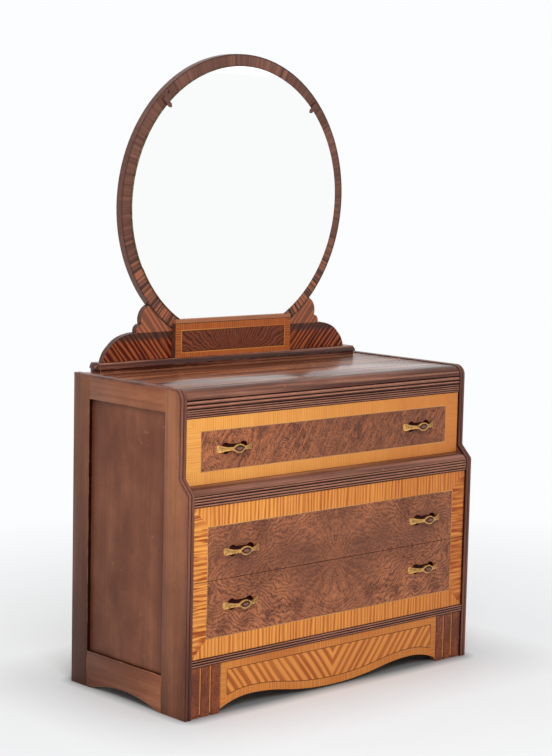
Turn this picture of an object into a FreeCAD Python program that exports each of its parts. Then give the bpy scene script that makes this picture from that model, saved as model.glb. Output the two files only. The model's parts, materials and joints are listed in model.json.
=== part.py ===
import FreeCAD, Part
import os
from math import cos, radians, sqrt

import Sketcher
from FreeCAD import Vector

# A veneered dressing chest with three drawers and a round mirror.
#
# The model stands on the floor at z = 0 with its front towards -Y. Depths are
# given as "u": the distance forward from the back of the case.

doc = FreeCAD.newDocument("dressing_chest")

SIZES = (
    # case and side frames
    ("case_width", 1000.0, "across the two side frames"),
    ("lower_depth", 457.0, "depth of the case below the step"),
    ("front_setback", 34.0, "how far the upper front stands back"),
    ("side_thick", 20.0, "thickness of a side frame"),
    ("rear_stile_width", 65.0, "width of the rear stile"),
    ("front_stile_width", 87.0, "width of the front stile below the step"),
    ("top_rail_width", 56.0, "height of the side frame's top rail"),
    ("side_rail_height", 94.0, "height of the side frame's bottom rail"),
    ("arch_rise", 22.0, "rise of the arch between the side feet"),
    ("arch_reach", 125.0, "half length of the arch's middle arc"),
    ("panel_thick", 6.0, "thickness of the side panel"),
    ("panel_recess", 10.0, "depth of the side panel below the frame"),
    ("groove_depth", 8.0, "groove in the frame for panel and tongues"),
    ("groove_play", 0.2, "play of panel and tongues in the groove"),
    ("tongue_margin", 14.0, "shoulder between a tongue and the rail's outer edge"),
    ("bead_depth", 6.0, "depth of the reeded edge bead"),
    ("bead_rise", 1.5, "bulge of the bead's reeds"),
    ("slope_rise", 30.5, "start of the slope above the step moulding's foot"),
    ("slope_low_round", 6.0, "round below the slope, on the bead's seat"),
    ("slope_high_round", 14.0, "round above the slope, on the bead's seat"),
    ("corner_round", 22.0, "round of the top front corner, on the bead's seat"),
    # heights of the front, from the floor up
    ("base_height", 126.0, "height of apron and feet"),
    ("base_moulding_height", 19.0, "height of the base moulding"),
    ("bottom_opening", 188.0, "height of the bottom drawer's opening"),
    ("middle_opening", 183.0, "height of the middle drawer's opening"),
    ("step_moulding_height", 47.0, "height of the step moulding"),
    ("top_opening", 163.0, "height of the top drawer's opening"),
    ("top_moulding_height", 71.0, "height of the top moulding"),
    ("top_drop", 3.0, "how far the top lies below the side frames"),
    ("top_thick", 18.0, "thickness of the top board"),
    # mouldings
    ("moulding_proud", 4.0, "how far the mouldings stand out from the case"),
    ("fine_rise", 2.2, "bulge of the fine reeds"),
    ("wide_rise", 3.5, "bulge of the wide reeds"),
    ("step_rise", 3.0, "bulge of the step moulding's reeds"),
    ("base_rise", 2.6, "bulge of the base moulding's reeds"),
    ("top_nosing", 25.0, "radius of the top moulding's nosing"),
    ("fine_reed", 5.4, "pitch of the four fine reeds of the top moulding"),
    ("wide_reed", 11.0, "pitch of the two wide reeds of the top moulding"),
    ("step_reed", 7.0, "pitch of the four reeds of the step moulding"),
    ("step_flat", 30.0, "depth of the rounded part of the step moulding"),
    ("step_curve", 34.0, "radius on top of the step moulding"),
    ("quirk_depth", 3.0, "depth of the sunk fillets"),
    ("quirk_height", 1.6, "height of the sunk fillets"),
    ("top_moulding_depth", 38.0, "depth of the top moulding"),
    ("step_moulding_depth", 56.0, "depth of the step moulding"),
    # apron and feet
    ("apron_thick", 18.0, "thickness of apron and foot blocks"),
    ("foot_block", 32.0, "width of one foot block"),
    ("foot_groove", 3.0, "chamfer that makes the grooves between foot blocks"),
    ("foot_notch_width", 6.0, "width of the chamfer under a foot block"),
    ("foot_notch_height", 7.0, "height of the chamfer under a foot block"),
    ("apron_low", 6.0, "height of the apron's middle above the floor"),
    ("apron_rise", 26.5, "rise of the apron's arches above its middle"),
    ("apron_peak", 285.0, "distance of the arches from the middle"),
    ("apron_arch_reach", 110.0, "length of the arches' inner arcs"),
    ("apron_end", 11.0, "height of the apron's ends above the floor"),
    # rails, runners, back
    ("front_rail_depth", 53.0, "depth of the rail under the bottom drawer"),
    ("divider_depth", 69.0, "depth of the rail under the top drawer"),
    ("rail_thick", 18.0, "thickness of the divider rail"),
    ("runner_width", 20.0, "width of a drawer runner"),
    ("runner_height", 21.0, "height of the middle runners"),
    ("runner_short", 26.0, "end of the middle runners behind the front"),
    ("back_thick", 6.0, "thickness of the back panel"),
    ("back_rebate", 8.0, "rebate in the rear stiles for the back panel"),
    ("back_low", 100.0, "height of the back panel's lower edge"),
    ("glue_block", 40.0, "side of the corner glue blocks"),
    ("glue_block_low", 30.0, "height of their lower ends above the floor"),
    ("small_block", 20.0, "depth of the small glue blocks"),
    ("small_block_long", 60.0, "length of the small glue blocks"),
    ("small_block_high", 30.0, "height of the small glue blocks"),
    ("small_block_pitch", 250.0, "spacing of the small glue blocks"),
    # drawers
    ("drawer_play", 1.5, "play of a drawer at each side"),
    ("front_gap", 0.7, "gap above and below a drawer front"),
    ("slide_gap", 0.3, "running gap between drawer and runner"),
    ("front_thick", 20.0, "thickness of a drawer front"),
    ("upper_face_proud", 1.5, "top drawer front ahead of the upper bead seat"),
    ("drawer_side", 12.0, "thickness of drawer sides and back"),
    ("drawer_short", 20.0, "gap between drawer and back of the case"),
    ("drawer_headroom", 14.0, "gap above the drawer sides"),
    ("bottom_headroom", 7.0, "gap above the bottom drawer's sides, below the runners"),
    ("drawer_bottom_thick", 5.0, "thickness of a drawer bottom"),
    ("drawer_bottom_high", 10.0, "height of the bottom above the side's edge"),
    ("drawer_groove", 6.0, "depth of the grooves for the drawer bottom"),
    ("back_housing", 4.0, "depth of the housings for the drawer back"),
    ("back_inset", 6.0, "drawer back ahead of the ends of the sides"),
    ("dovetail_long", 14.0, "length of the dovetails"),
    ("dovetail_flare", 2.0, "widening of a tail at each side"),
    ("dovetail_pin", 12.0, "width of a pin between two tails"),
    # handles
    ("handle_offset", 325.0, "distance of the handles from the middle"),
    ("handle_top_high", 83.0, "height of the top handles above the opening"),
    ("handle_joint", 66.5, "distance of the lower handles from the joint"),
    ("handle_long", 115.0, "length of a handle"),
    ("handle_reach", 21.0, "how far a handle stands out from the front"),
    ("handle_thick", 4.5, "thickness of the bow"),
    ("handle_end", 24.0, "height of the fan-shaped ends"),
    ("handle_neck", 8.5, "height of the bow beside the eye"),
    ("handle_neck_place", 25.0, "distance of the necks from the middle"),
    ("handle_flare", 70.0, "radius of the fans' edges"),
    ("eye_long", 42.0, "length of the eye"),
    ("eye_high", 22.0, "height of the eye"),
    ("insert_long", 34.0, "length of the insert"),
    ("insert_high", 16.5, "height of the insert"),
    ("insert_sunk", 2.0, "depth of the insert's seat"),
    ("insert_proud", 0.2, "how far the insert stands out of the bow"),
    ("insert_play", 0.15, "play of the insert in its seat"),
    ("stud_offset", 46.0, "distance of the studs from the handle's middle"),
    ("stud_wide", 6.0, "diameter of a handle's stud"),
    ("stud_root", 5.5, "root of a stud above the front, inside the bow"),
    ("stud_play", 0.2, "radial play of a stud in its bore"),
    ("nut_wide", 10.0, "width of a nut across its flats"),
    ("nut_high", 4.0, "height of a nut"),
    ("nut_play", 0.1, "radial play between nut and stud"),
    ("stud_end", 1.0, "end of a stud beyond its nut"),
    ("recess_deep", 10.0, "depth of the routed recess behind a handle"),
    ("recess_lobe", 14.0, "radius of the recess's lobes"),
    ("recess_lobe_place", 28.0, "distance of the lobes from the recess's middle"),
    ("recess_waist", 9.5, "half height of the recess's waist"),
    # mirror
    ("mirror_lift", 17.5, "lowest point of the disc above the base rail"),
    ("mirror_forward", 40.4, "front of the disc, at its middle, from the back"),
    ("mirror_lean", 0.043, "forward lean of the disc, as a slope"),
    ("disc_radius", 388.0, "radius of the veneered disc"),
    ("disc_thick", 20.0, "thickness of the disc"),
    ("disc_play", 1.2, "gap between disc and wings"),
    ("cutter_reach", 60.0, "reach of the cutters that keep wings and box off the disc"),
    ("rim_width", 31.5, "width of the veneered rim around the glass"),
    ("glass_thick", 6.0, "thickness of the glass"),
    ("glass_bevel", 1.0, "chamfer of the glass's edge"),
    ("clip_angle", 45.0, "angle of the upper clips"),
    ("clip_low_angle", 70.0, "angle of the lower clips"),
    ("clip_over", 13.5, "how far a clip reaches over the glass"),
    ("clip_out", 22.5, "how far a clip reaches out from the glass's edge"),
    ("clip_wide", 13.0, "width of a clip"),
    ("clip_thick", 1.2, "thickness of a clip over the glass"),
    ("clip_play", 0.3, "gap between clip foot and glass"),
    ("rail_width", 906.0, "length of the mirror's base rail"),
    ("rail_depth", 46.0, "depth of the mirror's base rail"),
    ("rail_recess", 4.0, "recess under the base rail's moulding"),
    ("rail_recess_high", 9.0, "height of that recess"),
    ("rail_ovolo_high", 15.5, "height of the base rail's ovolo"),
    ("rail_ovolo_in", 6.0, "depth of the ovolo"),
    ("box_width", 407.4, "width of the centre box"),
    ("box_height", 100.5, "height of the centre box"),
    ("box_forward", 40.0, "front of the centre box, from the back"),
    ("box_front", 5.0, "thickness of the box's front"),
    ("box_cheek", 12.0, "thickness of the box's cheeks"),
    ("wing_forward", 21.5, "front of the wings at their foot, from the back"),
    ("wing_thick", 16.5, "thickness of the wings"),
    ("wing_inner", 100.0, "inner end of a wing, from the middle"),
    ("wing_outer", 427.0, "outer end of a wing, from the middle"),
    ("wing_foot_trim", 2.0, "cut off the foot of a wing so that it stands on the rail"),
    ("post_offset", 150.0, "distance of the posts from the middle"),
    ("post_width", 45.0, "width of a post"),
    ("post_thick", 18.0, "thickness of a post"),
    ("post_below", 257.0, "lower ends of the posts below the top surface"),
    ("post_above", 173.0, "upper ends of the posts above the disc's middle"),
    ("screw_wide", 4.0, "diameter of the post screws"),
    ("screw_grip", 12.0, "length of a screw beyond the post"),
    ("screw_play", 0.2, "radial play of a screw in its bore"),
    ("screw_head", 8.0, "diameter of a screw's head"),
    ("screw_head_high", 2.0, "height of a screw's head"),
    ("screw_below", 247.0, "lower screws below the disc's middle"),
    ("screw_above", 133.0, "upper screws above the disc's middle"),
)

sheet = doc.addObject("Spreadsheet::Sheet", "Sizes")
for row, (alias, number, note) in enumerate(SIZES, start=1):
    sheet.set("A%d" % row, alias)
    sheet.set("B%d" % row, str(number))
    sheet.set("C%d" % row, note)
    sheet.setAlias("B%d" % row, alias)
doc.recompute()


class Size:
    """A length: its value in millimetres and its formula over the sheet."""

    def __init__(self, value, formula):
        self.value = float(value)
        self.formula = formula

    def __add__(self, other):
        other = sized(other)
        return Size(self.value + other.value, "(%s + %s)" % (self.formula, other.formula))

    def __sub__(self, other):
        other = sized(other)
        return Size(self.value - other.value, "(%s - %s)" % (self.formula, other.formula))

    def __mul__(self, other):
        other = sized(other)
        return Size(self.value * other.value, "(%s * %s)" % (self.formula, other.formula))

    def __truediv__(self, other):
        other = sized(other)
        return Size(self.value / other.value, "(%s / %s)" % (self.formula, other.formula))

    def __radd__(self, other):
        return sized(other) + self

    def __rsub__(self, other):
        return sized(other) - self

    def __rmul__(self, other):
        return sized(other) * self

    def __rtruediv__(self, other):
        return sized(other) / self

    def __neg__(self):
        return Size(-self.value, "(-%s)" % self.formula)


def sized(number):
    """The number as a Size, if it isn't one."""
    if isinstance(number, Size):
        return number
    return Size(number, repr(float(number)))


def size(alias):
    """The sheet's value with this alias."""
    return Size(sheet.get(alias), "Sizes.%s" % alias)


def root(number):
    """Square root of a Size."""
    return Size(sqrt(number.value), "sqrt(%s)" % number.formula)


def arc_radius(chord, rise):
    """Radius of the arc over a chord with this rise."""
    return (chord * chord / 4 + rise * rise) / (2 * rise)


ZERO = Size(0.0, "0")

# ---------------------------------------------------------------- main planes

half_width = size("case_width") / 2
half_opening = half_width - size("side_thick")
lower_seat = size("lower_depth") - size("bead_depth")
upper_seat = lower_seat - size("front_setback")

base_top = size("base_height")
bottom_floor = base_top + size("base_moulding_height")
middle_floor = bottom_floor + size("bottom_opening")
step_foot = middle_floor + size("middle_opening")
top_floor = step_foot + size("step_moulding_height")
top_ceiling = top_floor + size("top_opening")
top_surface = top_ceiling + size("top_moulding_height")
frame_top = top_surface + size("top_drop") - size("bead_depth")

rail_top = top_surface + size("rail_recess_high") + size("rail_ovolo_high")
mirror_middle = rail_top + size("mirror_lift") + size("disc_radius")
glass_radius = size("disc_radius") - size("rim_width")

upper_face = upper_seat + size("upper_face_proud")
lower_face = lower_seat

# The back of the case lies behind the middle of the whole object's depth,
# which runs from the screw heads on the posts to the lower handles' inserts.
front_reach = lower_face + size("handle_reach") + size("insert_proud")
lean = size("mirror_lean")
lean_cos = 1 / root(1 + lean * lean)
lean_sin = lean * lean_cos
case_back = (front_reach - size("post_thick") - size("screw_head_high") / lean_cos) / 2

nodes = {}


# ------------------------------------------------------------------- builders

def bind(obj, name, value):
    """Tie a property to the sheet."""
    obj.setExpression(name, sized(value).formula)


def place(obj, x, u, z):
    """Tie an object's place to the sheet; u runs forward from the back."""
    bind(obj, "Placement.Base.x", x)
    bind(obj, "Placement.Base.y", case_back - u)
    bind(obj, "Placement.Base.z", z)
    return obj


def keep(name, obj):
    """Name an object as one of the sub-parts."""
    obj.Label = name
    nodes[name] = obj
    return obj


def board(name, x, u, z):
    """A board between two x, two depths and two heights."""
    box = doc.addObject("Part::Box", name + "_board")
    bind(box, "Length", x[1] - x[0])
    bind(box, "Width", u[1] - u[0])
    bind(box, "Height", z[1] - z[0])
    return place(box, x[0], u[1], z[0])


def aimed(obj, length, x, u, z, tilt="90 deg"):
    """Turn an upright solid of this length to the front, or tilt it."""
    obj.Placement = FreeCAD.Placement(Vector(), FreeCAD.Rotation(Vector(1, 0, 0), 90))
    obj.setExpression("Placement.Rotation.Angle", tilt)
    bind(obj, "Height", length)
    return place(obj, x, u, z)


def pin(name, radius, length, x, u, z, tilt="90 deg", flats=12):
    """A thin pin, screw or bore that runs forward; it is drawn with flats."""
    prism = doc.addObject("Part::Prism", name + "_pin")
    prism.Polygon = flats
    bind(prism, "Circumradius", radius)
    return aimed(prism, length, x, u, z, tilt)


def cut(name, base, *tools):
    """The base less each tool."""
    for tool in tools:
        result = doc.addObject("Part::Cut", name + "_cut")
        result.Base = base
        result.Tool = tool
        base = result
    return base


def fuse(name, *pieces):
    """Pieces glued or cast into one solid."""
    result = doc.addObject("Part::MultiFuse", name + "_whole")
    result.Shapes = list(pieces)
    result.Refine = True
    return result


def common(name, base, tool):
    """What two shapes share."""
    result = doc.addObject("Part::Common", name + "_common")
    result.Base = base
    result.Tool = tool
    return result


def group(name, *pieces):
    """Separate solids that share one node."""
    result = doc.addObject("Part::Compound", name + "_group")
    result.Links = list(pieces)
    return result


def origin_plane(body, role):
    """One of a body's own three planes."""
    for feature in body.Origin.OriginFeatures:
        if feature.Role == role:
            return feature
    raise ValueError(role)


def arc_between(start, end, radius):
    """An arc; a positive radius has its centre on the left of the way."""
    chord = end - start
    side = Vector(-chord.y, chord.x, 0).normalize()
    rise = sqrt(max(radius * radius - chord.Length ** 2 / 4, 0.0))
    direction = 1 if radius > 0 else -1
    centre = (start + end) * 0.5 + side * (rise * direction)
    middle = centre - side * (abs(radius) * direction)
    return Part.Arc(start, middle, end)


def draw(body, role, name, way, closed=True):
    """A fully bound sketch of a way.

    Each step of the way is (a, b) for a straight line to that point or
    (a, b, radius) for an arc; the first step is the start. A closed way may
    end with an arc back to the start.
    """
    sketch = body.newObject("Sketcher::SketchObject", name)
    sketch.AttachmentSupport = (origin_plane(body, role), "")
    sketch.MapMode = "FlatFace"
    way = [tuple(sized(value) for value in step) for step in way]
    points = [Vector(step[0].value, step[1].value, 0) for step in way]
    if closed and points[-1].isEqual(points[0], 1e-6):
        points.pop()
        way[0] = way.pop()
    count = len(way) if closed else len(way) - 1
    ends = []
    for index in range(count):
        after = (index + 1) % len(way)
        start, end = points[index], points[after]
        step = way[after]
        if len(step) == 3:
            line = sketch.addGeometry(arc_between(start, end, step[2].value))
            turned = (sketch.getPoint(line, 1) - start).Length > (sketch.getPoint(line, 2) - start).Length
            ends.append((line, 2, 1) if turned else (line, 1, 2))
            tie = sketch.addConstraint(Sketcher.Constraint("Radius", line, abs(step[2].value)))
            radius = step[2] if step[2].value > 0 else -step[2]
            sketch.setExpression("Constraints[%d]" % tie, radius.formula)
        else:
            line = sketch.addGeometry(Part.LineSegment(start, end))
            ends.append((line, 1, 2))
    for index in range(count if closed else count - 1):
        after = (index + 1) % count
        sketch.addConstraint(Sketcher.Constraint(
            "Coincident", ends[index][0], ends[index][2], ends[after][0], ends[after][1]))
    corners = [(end[0], end[1]) for end in ends]
    if not closed:
        corners.append((ends[-1][0], ends[-1][2]))
    for (line, corner), step in zip(corners, way):
        for kind, value, axis in (("DistanceX", step[0], -2), ("DistanceY", step[1], -1)):
            if value.value == 0.0:
                sketch.addConstraint(Sketcher.Constraint("PointOnObject", line, corner, axis))
                continue
            tie = sketch.addConstraint(Sketcher.Constraint(kind, -1, 1, line, corner, value.value))
            sketch.setExpression("Constraints[%d]" % tie, value.formula)
    return sketch


def side_view(way):
    """A way given as (u, z) turned into the YZ plane's own coordinates."""
    turned = []
    for step in way:
        step = tuple(sized(value) for value in step)
        turned.append((-step[0], step[1]) + tuple(-radius for radius in step[2:]))
    return turned


def padded(name, role, way, length, at, backward=False):
    """A body padded from one outline."""
    body = doc.addObject("PartDesign::Body", name + "_body")
    outline = draw(body, role, name + "_outline", way)
    pad = body.newObject("PartDesign::Pad", name + "_pad")
    pad.Profile = outline
    bind(pad, "Length", length)
    pad.Reversed = backward
    place(body, *at)
    return body


def moulding(name, way, half_length):
    """A straight length with this (u, z) section, centred on the middle."""
    return padded(name, "YZ_Plane", side_view(way), 2 * half_length, (-half_length, ZERO, ZERO))


def reeds(u, z, pitch, count, rise):
    """Steps of a (u, z) way up a row of reeds on the plane u."""
    radius = arc_radius(pitch, rise)
    return [(u, z + pitch * number, radius) for number in range(1, count + 1)]


FINE_REEDS = 4
WIDE_REEDS = 2
STEP_REEDS = 4
BASE_REEDS = 3
FOOT_BLOCKS = 3


def span(side, near, far):
    """The x range of a piece on the left (-1) or the right (1)."""
    return (sized(near), sized(far)) if side > 0 else (-sized(far), -sized(near))


SIDES = (("left", -1), ("right", 1))

# ---------------------------------------------------------------- side frames

# A 45 degree bend of radius r starts r * BEND before its corner, which is
# r * BEND_ACROSS measured along either axis on the sloping leg.
BEND = sqrt(2.0) - 1.0
BEND_ACROSS = BEND / sqrt(2.0)

slope_foot = step_foot + size("slope_rise")
slope_head = slope_foot + size("front_setback")


def front_edge():
    """The front and top edge of a side frame, from the floor to the rear."""
    low, high, corner = size("slope_low_round"), size("slope_high_round"), size("corner_round")
    return [
        (lower_seat, ZERO),
        (lower_seat, slope_foot - low * BEND),
        (lower_seat - low * BEND_ACROSS, slope_foot + low * BEND_ACROSS, low),
        (upper_seat + high * BEND_ACROSS, slope_head - high * BEND_ACROSS),
        (upper_seat, slope_head + high * BEND, -high),
        (upper_seat, frame_top - corner),
        (upper_seat - corner, frame_top, corner),
    ]


def edge_bead(name, x):
    """The reeded bead, swept up the stepped front edge and back along the top."""
    body = doc.addObject("PartDesign::Body", name + "_body")
    way = side_view(front_edge() + [(ZERO, frame_top)])
    spine = draw(body, "YZ_Plane", name + "_spine", way, closed=False)
    half = size("side_thick") / 2
    reed_foot = size("lower_depth") - size("bead_rise")
    reed = arc_radius(half, size("bead_rise"))
    section = [
        (-half, -lower_seat),
        (half, -lower_seat),
        (half, -reed_foot),
        (ZERO, -reed_foot, -reed),
        (-half, -reed_foot, -reed),
    ]
    profile = draw(body, "XY_Plane", name + "_section", section)
    sweep = body.newObject("PartDesign::AdditivePipe", name + "_sweep")
    sweep.Profile = profile
    sweep.Spine = (spine, ["Edge%d" % number for number in range(1, len(way))])
    return place(body, x, ZERO, ZERO)


def side_frame(tag, side):
    """One framed and panelled side with its bead."""
    outer, inner = half_width, half_opening
    x = span(side, inner, outer)
    panel_outer = outer - size("panel_recess")
    panel_x = span(side, panel_outer - size("panel_thick"), panel_outer)
    play = size("groove_play")
    groove_x = (panel_x[0] - play, panel_x[1] + play)
    rear, front = size("rear_stile_width"), lower_seat - size("front_stile_width")
    low, high = size("side_rail_height"), frame_top - size("top_rail_width")
    tongue = size("groove_depth") - play
    margin = size("tongue_margin")

    panel = board(tag + "_side_panel", panel_x, (rear - tongue, front + tongue), (low - tongue, high + tongue))
    keep(tag + "_side_panel", panel)

    groove_u = (rear - size("groove_depth"), front + size("groove_depth"))
    groove_z = (size("arch_rise") + margin, frame_top - margin)
    groove = board(tag + "_groove", groove_x, groove_u, groove_z)

    rear_stile = board(tag + "_rear_stile", x, (ZERO, rear), (ZERO, frame_top))
    keep(tag + "_rear_stile", cut(tag + "_rear_stile", rear_stile, groove, nodes["back_panel"]))

    outline = side_view([(front, ZERO)] + front_edge() + [(front, frame_top)])
    front_stile = padded(tag + "_front_stile", "YZ_Plane", outline, size("side_thick"), (x[0], ZERO, ZERO))
    keep(tag + "_front_stile", cut(tag + "_front_stile", front_stile, groove))

    tongue_u = (rear - tongue, front + tongue)
    top_rail = fuse(
        tag + "_top_rail",
        board(tag + "_top_rail", x, (rear, front), (high, frame_top)),
        board(tag + "_top_tongue", panel_x, tongue_u, (high, frame_top - margin - play)))
    keep(tag + "_top_rail", cut(tag + "_top_rail", top_rail, panel))

    bottom_rail = fuse(
        tag + "_bottom_rail",
        padded(tag + "_bottom_rail", "YZ_Plane", side_view(arched_rail(rear, front, low)),
               size("side_thick"), (x[0], ZERO, ZERO)),
        board(tag + "_bottom_tongue", panel_x, tongue_u, (groove_z[0] + play, low)))
    keep(tag + "_bottom_rail", cut(tag + "_bottom_rail", bottom_rail, panel))

    keep(tag + "_edge_bead", edge_bead(tag + "_edge_bead", (x[0] + x[1]) / 2))


def ogee(run, rise, reach):
    """Two arcs that are level at both ends: their radii and the first one's fall."""
    square = run * run + rise * rise
    sine = 2 * run * rise / square
    fall = 2 * rise * rise / square
    first = reach / sine
    return first, (run - reach) / sine, first * fall


def arched_rail(rear, front, top):
    """The side's bottom rail, with an arch between the feet."""
    middle = (rear + front) / 2
    rise, reach = size("arch_rise"), size("arch_reach")
    arch, foot, fall = ogee((front - rear) / 2, rise, reach)
    return [
        (rear, ZERO),
        (middle - reach, rise - fall, foot),
        (middle + reach, rise - fall, -arch),
        (front, ZERO, foot),
        (front, top),
        (rear, top),
    ]


# ----------------------------------------------------------------- case front

def top_moulding():
    """The top's reeded front with its nosing."""
    front = upper_seat + size("moulding_proud")
    fine_ground = front - size("fine_rise")
    wide_ground = front - size("wide_rise")
    quirk = wide_ground - size("quirk_depth")
    rear = front - size("top_moulding_depth")
    nosing = size("top_nosing")
    wide_foot = top_ceiling + FINE_REEDS * size("fine_reed")
    quirk_foot = wide_foot + WIDE_REEDS * size("wide_reed")
    way = [(rear, top_ceiling), (fine_ground, top_ceiling)]
    way += reeds(fine_ground, top_ceiling, size("fine_reed"), FINE_REEDS, size("fine_rise"))
    way += [(wide_ground, wide_foot)]
    way += reeds(wide_ground, wide_foot, size("wide_reed"), WIDE_REEDS, size("wide_rise"))
    way += [
        (quirk, quirk_foot),
        (quirk, quirk_foot + size("quirk_height")),
        (front, quirk_foot + size("quirk_height")),
        (front, top_surface - nosing),
        (front - nosing, top_surface, nosing),
        (rear, top_surface),
    ]
    keep("top_moulding", moulding("top_moulding", way, half_opening))


def step_moulding():
    """The moulding that steps the case out below the top drawer."""
    front = lower_seat + size("moulding_proud")
    ground = front - size("step_rise")
    rear = front - size("step_moulding_depth")
    flat, curve = size("step_flat"), size("step_curve")
    quirk_foot = step_foot + STEP_REEDS * size("step_reed")
    quirk = ground - size("quirk_depth")
    curve_foot = top_floor - curve + root(curve * curve - flat * flat)
    way = [(rear, step_foot), (ground, step_foot)]
    way += reeds(ground, step_foot, size("step_reed"), STEP_REEDS, size("step_rise"))
    way += [
        (quirk, quirk_foot),
        (quirk, curve_foot),
        (front, curve_foot),
        (front - flat, top_floor, curve),
        (rear, top_floor),
    ]
    keep("step_moulding", moulding("step_moulding", way, half_opening))


def base_moulding():
    """A row of reeds above the apron and the feet."""
    front = lower_seat + size("moulding_proud")
    ground = front - size("base_rise")
    rear = lower_seat - size("apron_thick")
    way = [(rear, base_top), (ground, base_top)]
    pitch = size("base_moulding_height") / BASE_REEDS
    way += reeds(ground, base_top, pitch, BASE_REEDS, size("base_rise"))
    way += [(rear, bottom_floor)]
    keep("base_moulding", moulding("base_moulding", way, half_opening))


foot_inner = half_opening - FOOT_BLOCKS * size("foot_block")


def apron():
    """The shaped board between the feet, with two shallow arches."""
    low, peak = size("apron_low"), size("apron_peak")
    rise, reach = size("apron_rise"), size("apron_arch_reach")
    arch, dip, fall = ogee(peak, rise, reach)
    top_of_arch = low + rise
    shoulder = peak - reach
    end_run = foot_inner - peak
    end_drop = top_of_arch - size("apron_end")
    end_arc = (end_run * end_run + end_drop * end_drop) / (2 * end_drop)
    way = [
        (-foot_inner, base_top),
        (-foot_inner, size("apron_end")),
        (-peak, top_of_arch, -end_arc),
        (-shoulder, top_of_arch - fall, -arch),
        (shoulder, top_of_arch - fall, dip),
        (peak, top_of_arch, -arch),
        (foot_inner, size("apron_end"), -end_arc),
        (foot_inner, base_top),
    ]
    rear = lower_seat - size("apron_thick")
    keep("apron", padded("apron", "XZ_Plane", way, size("apron_thick"), (ZERO, rear, ZERO)))


def foot_block(name, x):
    """One upright block with chamfered front edges and lower corners."""
    wide, deep, edge = size("foot_block"), size("apron_thick"), size("foot_groove")
    notch, notch_high = size("foot_notch_width"), size("foot_notch_height")
    rear = lower_seat - deep
    plan = [(ZERO, ZERO), (ZERO, edge - deep), (edge, -deep), (wide - edge, -deep), (wide, edge - deep),
            (wide, ZERO)]
    face = [(notch, ZERO), (wide - notch, ZERO), (wide, notch_high), (wide, base_top), (ZERO, base_top),
            (ZERO, notch_high)]
    upright = padded(name + "_plan", "XY_Plane", plan, base_top, (x, rear, ZERO))
    front = padded(name + "_face", "XZ_Plane", face, deep, (x, rear, ZERO))
    return common(name, upright, front)


def foot_blocks(tag, side):
    """Blocks side by side that form the front of a foot."""
    x = span(side, foot_inner, half_opening)[0]
    blocks = [foot_block("%s_foot_block_%d" % (tag, number + 1), x + size("foot_block") * number)
              for number in range(FOOT_BLOCKS)]
    keep(tag + "_foot_blocks", group(tag + "_foot_blocks", *blocks))


# ------------------------------------------------------- inside and behind it

def both_sides(name, near, far, u, z):
    """A pair of equal boards, left and right."""
    pair = [board("%s_%s" % (name, tag), span(side, near, far), u, z) for tag, side in SIDES]
    return group(name, *pair)


def carcass_boards(top_bores):
    """Top, back, rails, runners and glue blocks."""
    across = (-half_opening, half_opening)
    back = size("back_thick")
    moulding_rear = upper_seat + size("moulding_proud") - size("top_moulding_depth")
    top_z = (top_surface - size("top_thick"), top_surface)
    top_board = board("top_board", across, (ZERO, moulding_rear), top_z)
    keep("top_board", cut("top_board", top_board, *top_bores))

    back_half = half_opening + size("back_rebate")
    back_z = (size("back_low"), top_z[0])
    keep("back_panel", board("back_panel", (-back_half, back_half), (ZERO, back), back_z))

    divider_front = lower_seat + size("moulding_proud") - size("step_moulding_depth")
    divider_rear = divider_front - size("divider_depth")
    divider_z = (top_floor - size("rail_thick"), top_floor)
    keep("upper_divider_rail", board("upper_divider_rail", across, (divider_rear, divider_front), divider_z))

    rail_front = lower_seat - size("apron_thick")
    rail_rear = rail_front - size("front_rail_depth")
    rail_z = (base_top, bottom_floor)
    keep("front_bottom_rail", board("front_bottom_rail", across, (rail_rear, rail_front), rail_z))

    near = half_opening - size("runner_width")
    middle_end = lower_face - size("runner_short")
    middle_z = (middle_floor - size("runner_height"), middle_floor)
    keep("upper_runners", both_sides("upper_runners", near, half_opening, (back, divider_rear), divider_z))
    keep("middle_runners", both_sides("middle_runners", near, half_opening, (back, middle_end), middle_z))
    keep("lower_runners", both_sides("lower_runners", near, half_opening, (back, rail_rear), rail_z))

    corner = size("glue_block")
    blocks = [board("corner_block_" + tag, span(side, half_opening - corner, half_opening),
                    (rail_front - corner, rail_front), (size("glue_block_low"), base_top))
              for tag, side in SIDES]
    half_long = size("small_block_long") / 2
    for number in (-1, 0, 1):
        middle = size("small_block_pitch") * number
        blocks.append(board("small_block_%d" % (number + 2), (middle - half_long, middle + half_long),
                            (rail_front - size("small_block"), rail_front),
                            (base_top - size("small_block_high"), base_top)))
    keep("glue_blocks", group("glue_blocks", *blocks))


# -------------------------------------------------------------------- drawers

TAILS = 3


def tailed_side(name, x, rear, shoulder, z):
    """A drawer side whose front end has dovetails."""
    pin, flare, tip = size("dovetail_pin"), size("dovetail_flare"), shoulder + size("dovetail_long")
    tail = (z[1] - z[0]) / TAILS - pin
    way = [(rear, z[0]), (shoulder, z[0])]
    for number in range(TAILS):
        foot = z[0] + pin / 2 + (tail + pin) * number
        way += [(shoulder, foot), (tip, foot - flare), (tip, foot + tail + flare), (shoulder, foot + tail)]
    way += [(shoulder, z[1]), (rear, z[1])]
    return padded(name, "YZ_Plane", side_view(way), size("drawer_side"), (x, ZERO, ZERO))


def recess_way(x, z):
    """The dog-bone recess: two round lobes joined by a waist."""
    lobe, place_of_lobe, waist = size("recess_lobe"), size("recess_lobe_place"), size("recess_waist")
    neck = place_of_lobe - root(lobe * lobe - waist * waist)
    return [
        (x - neck, z - waist),
        (x + neck, z - waist),
        (x + place_of_lobe + lobe, z, lobe),
        (x + neck, z + waist, lobe),
        (x - neck, z + waist),
        (x - place_of_lobe - lobe, z, lobe),
        (x - neck, z - waist, lobe),
    ]


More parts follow.
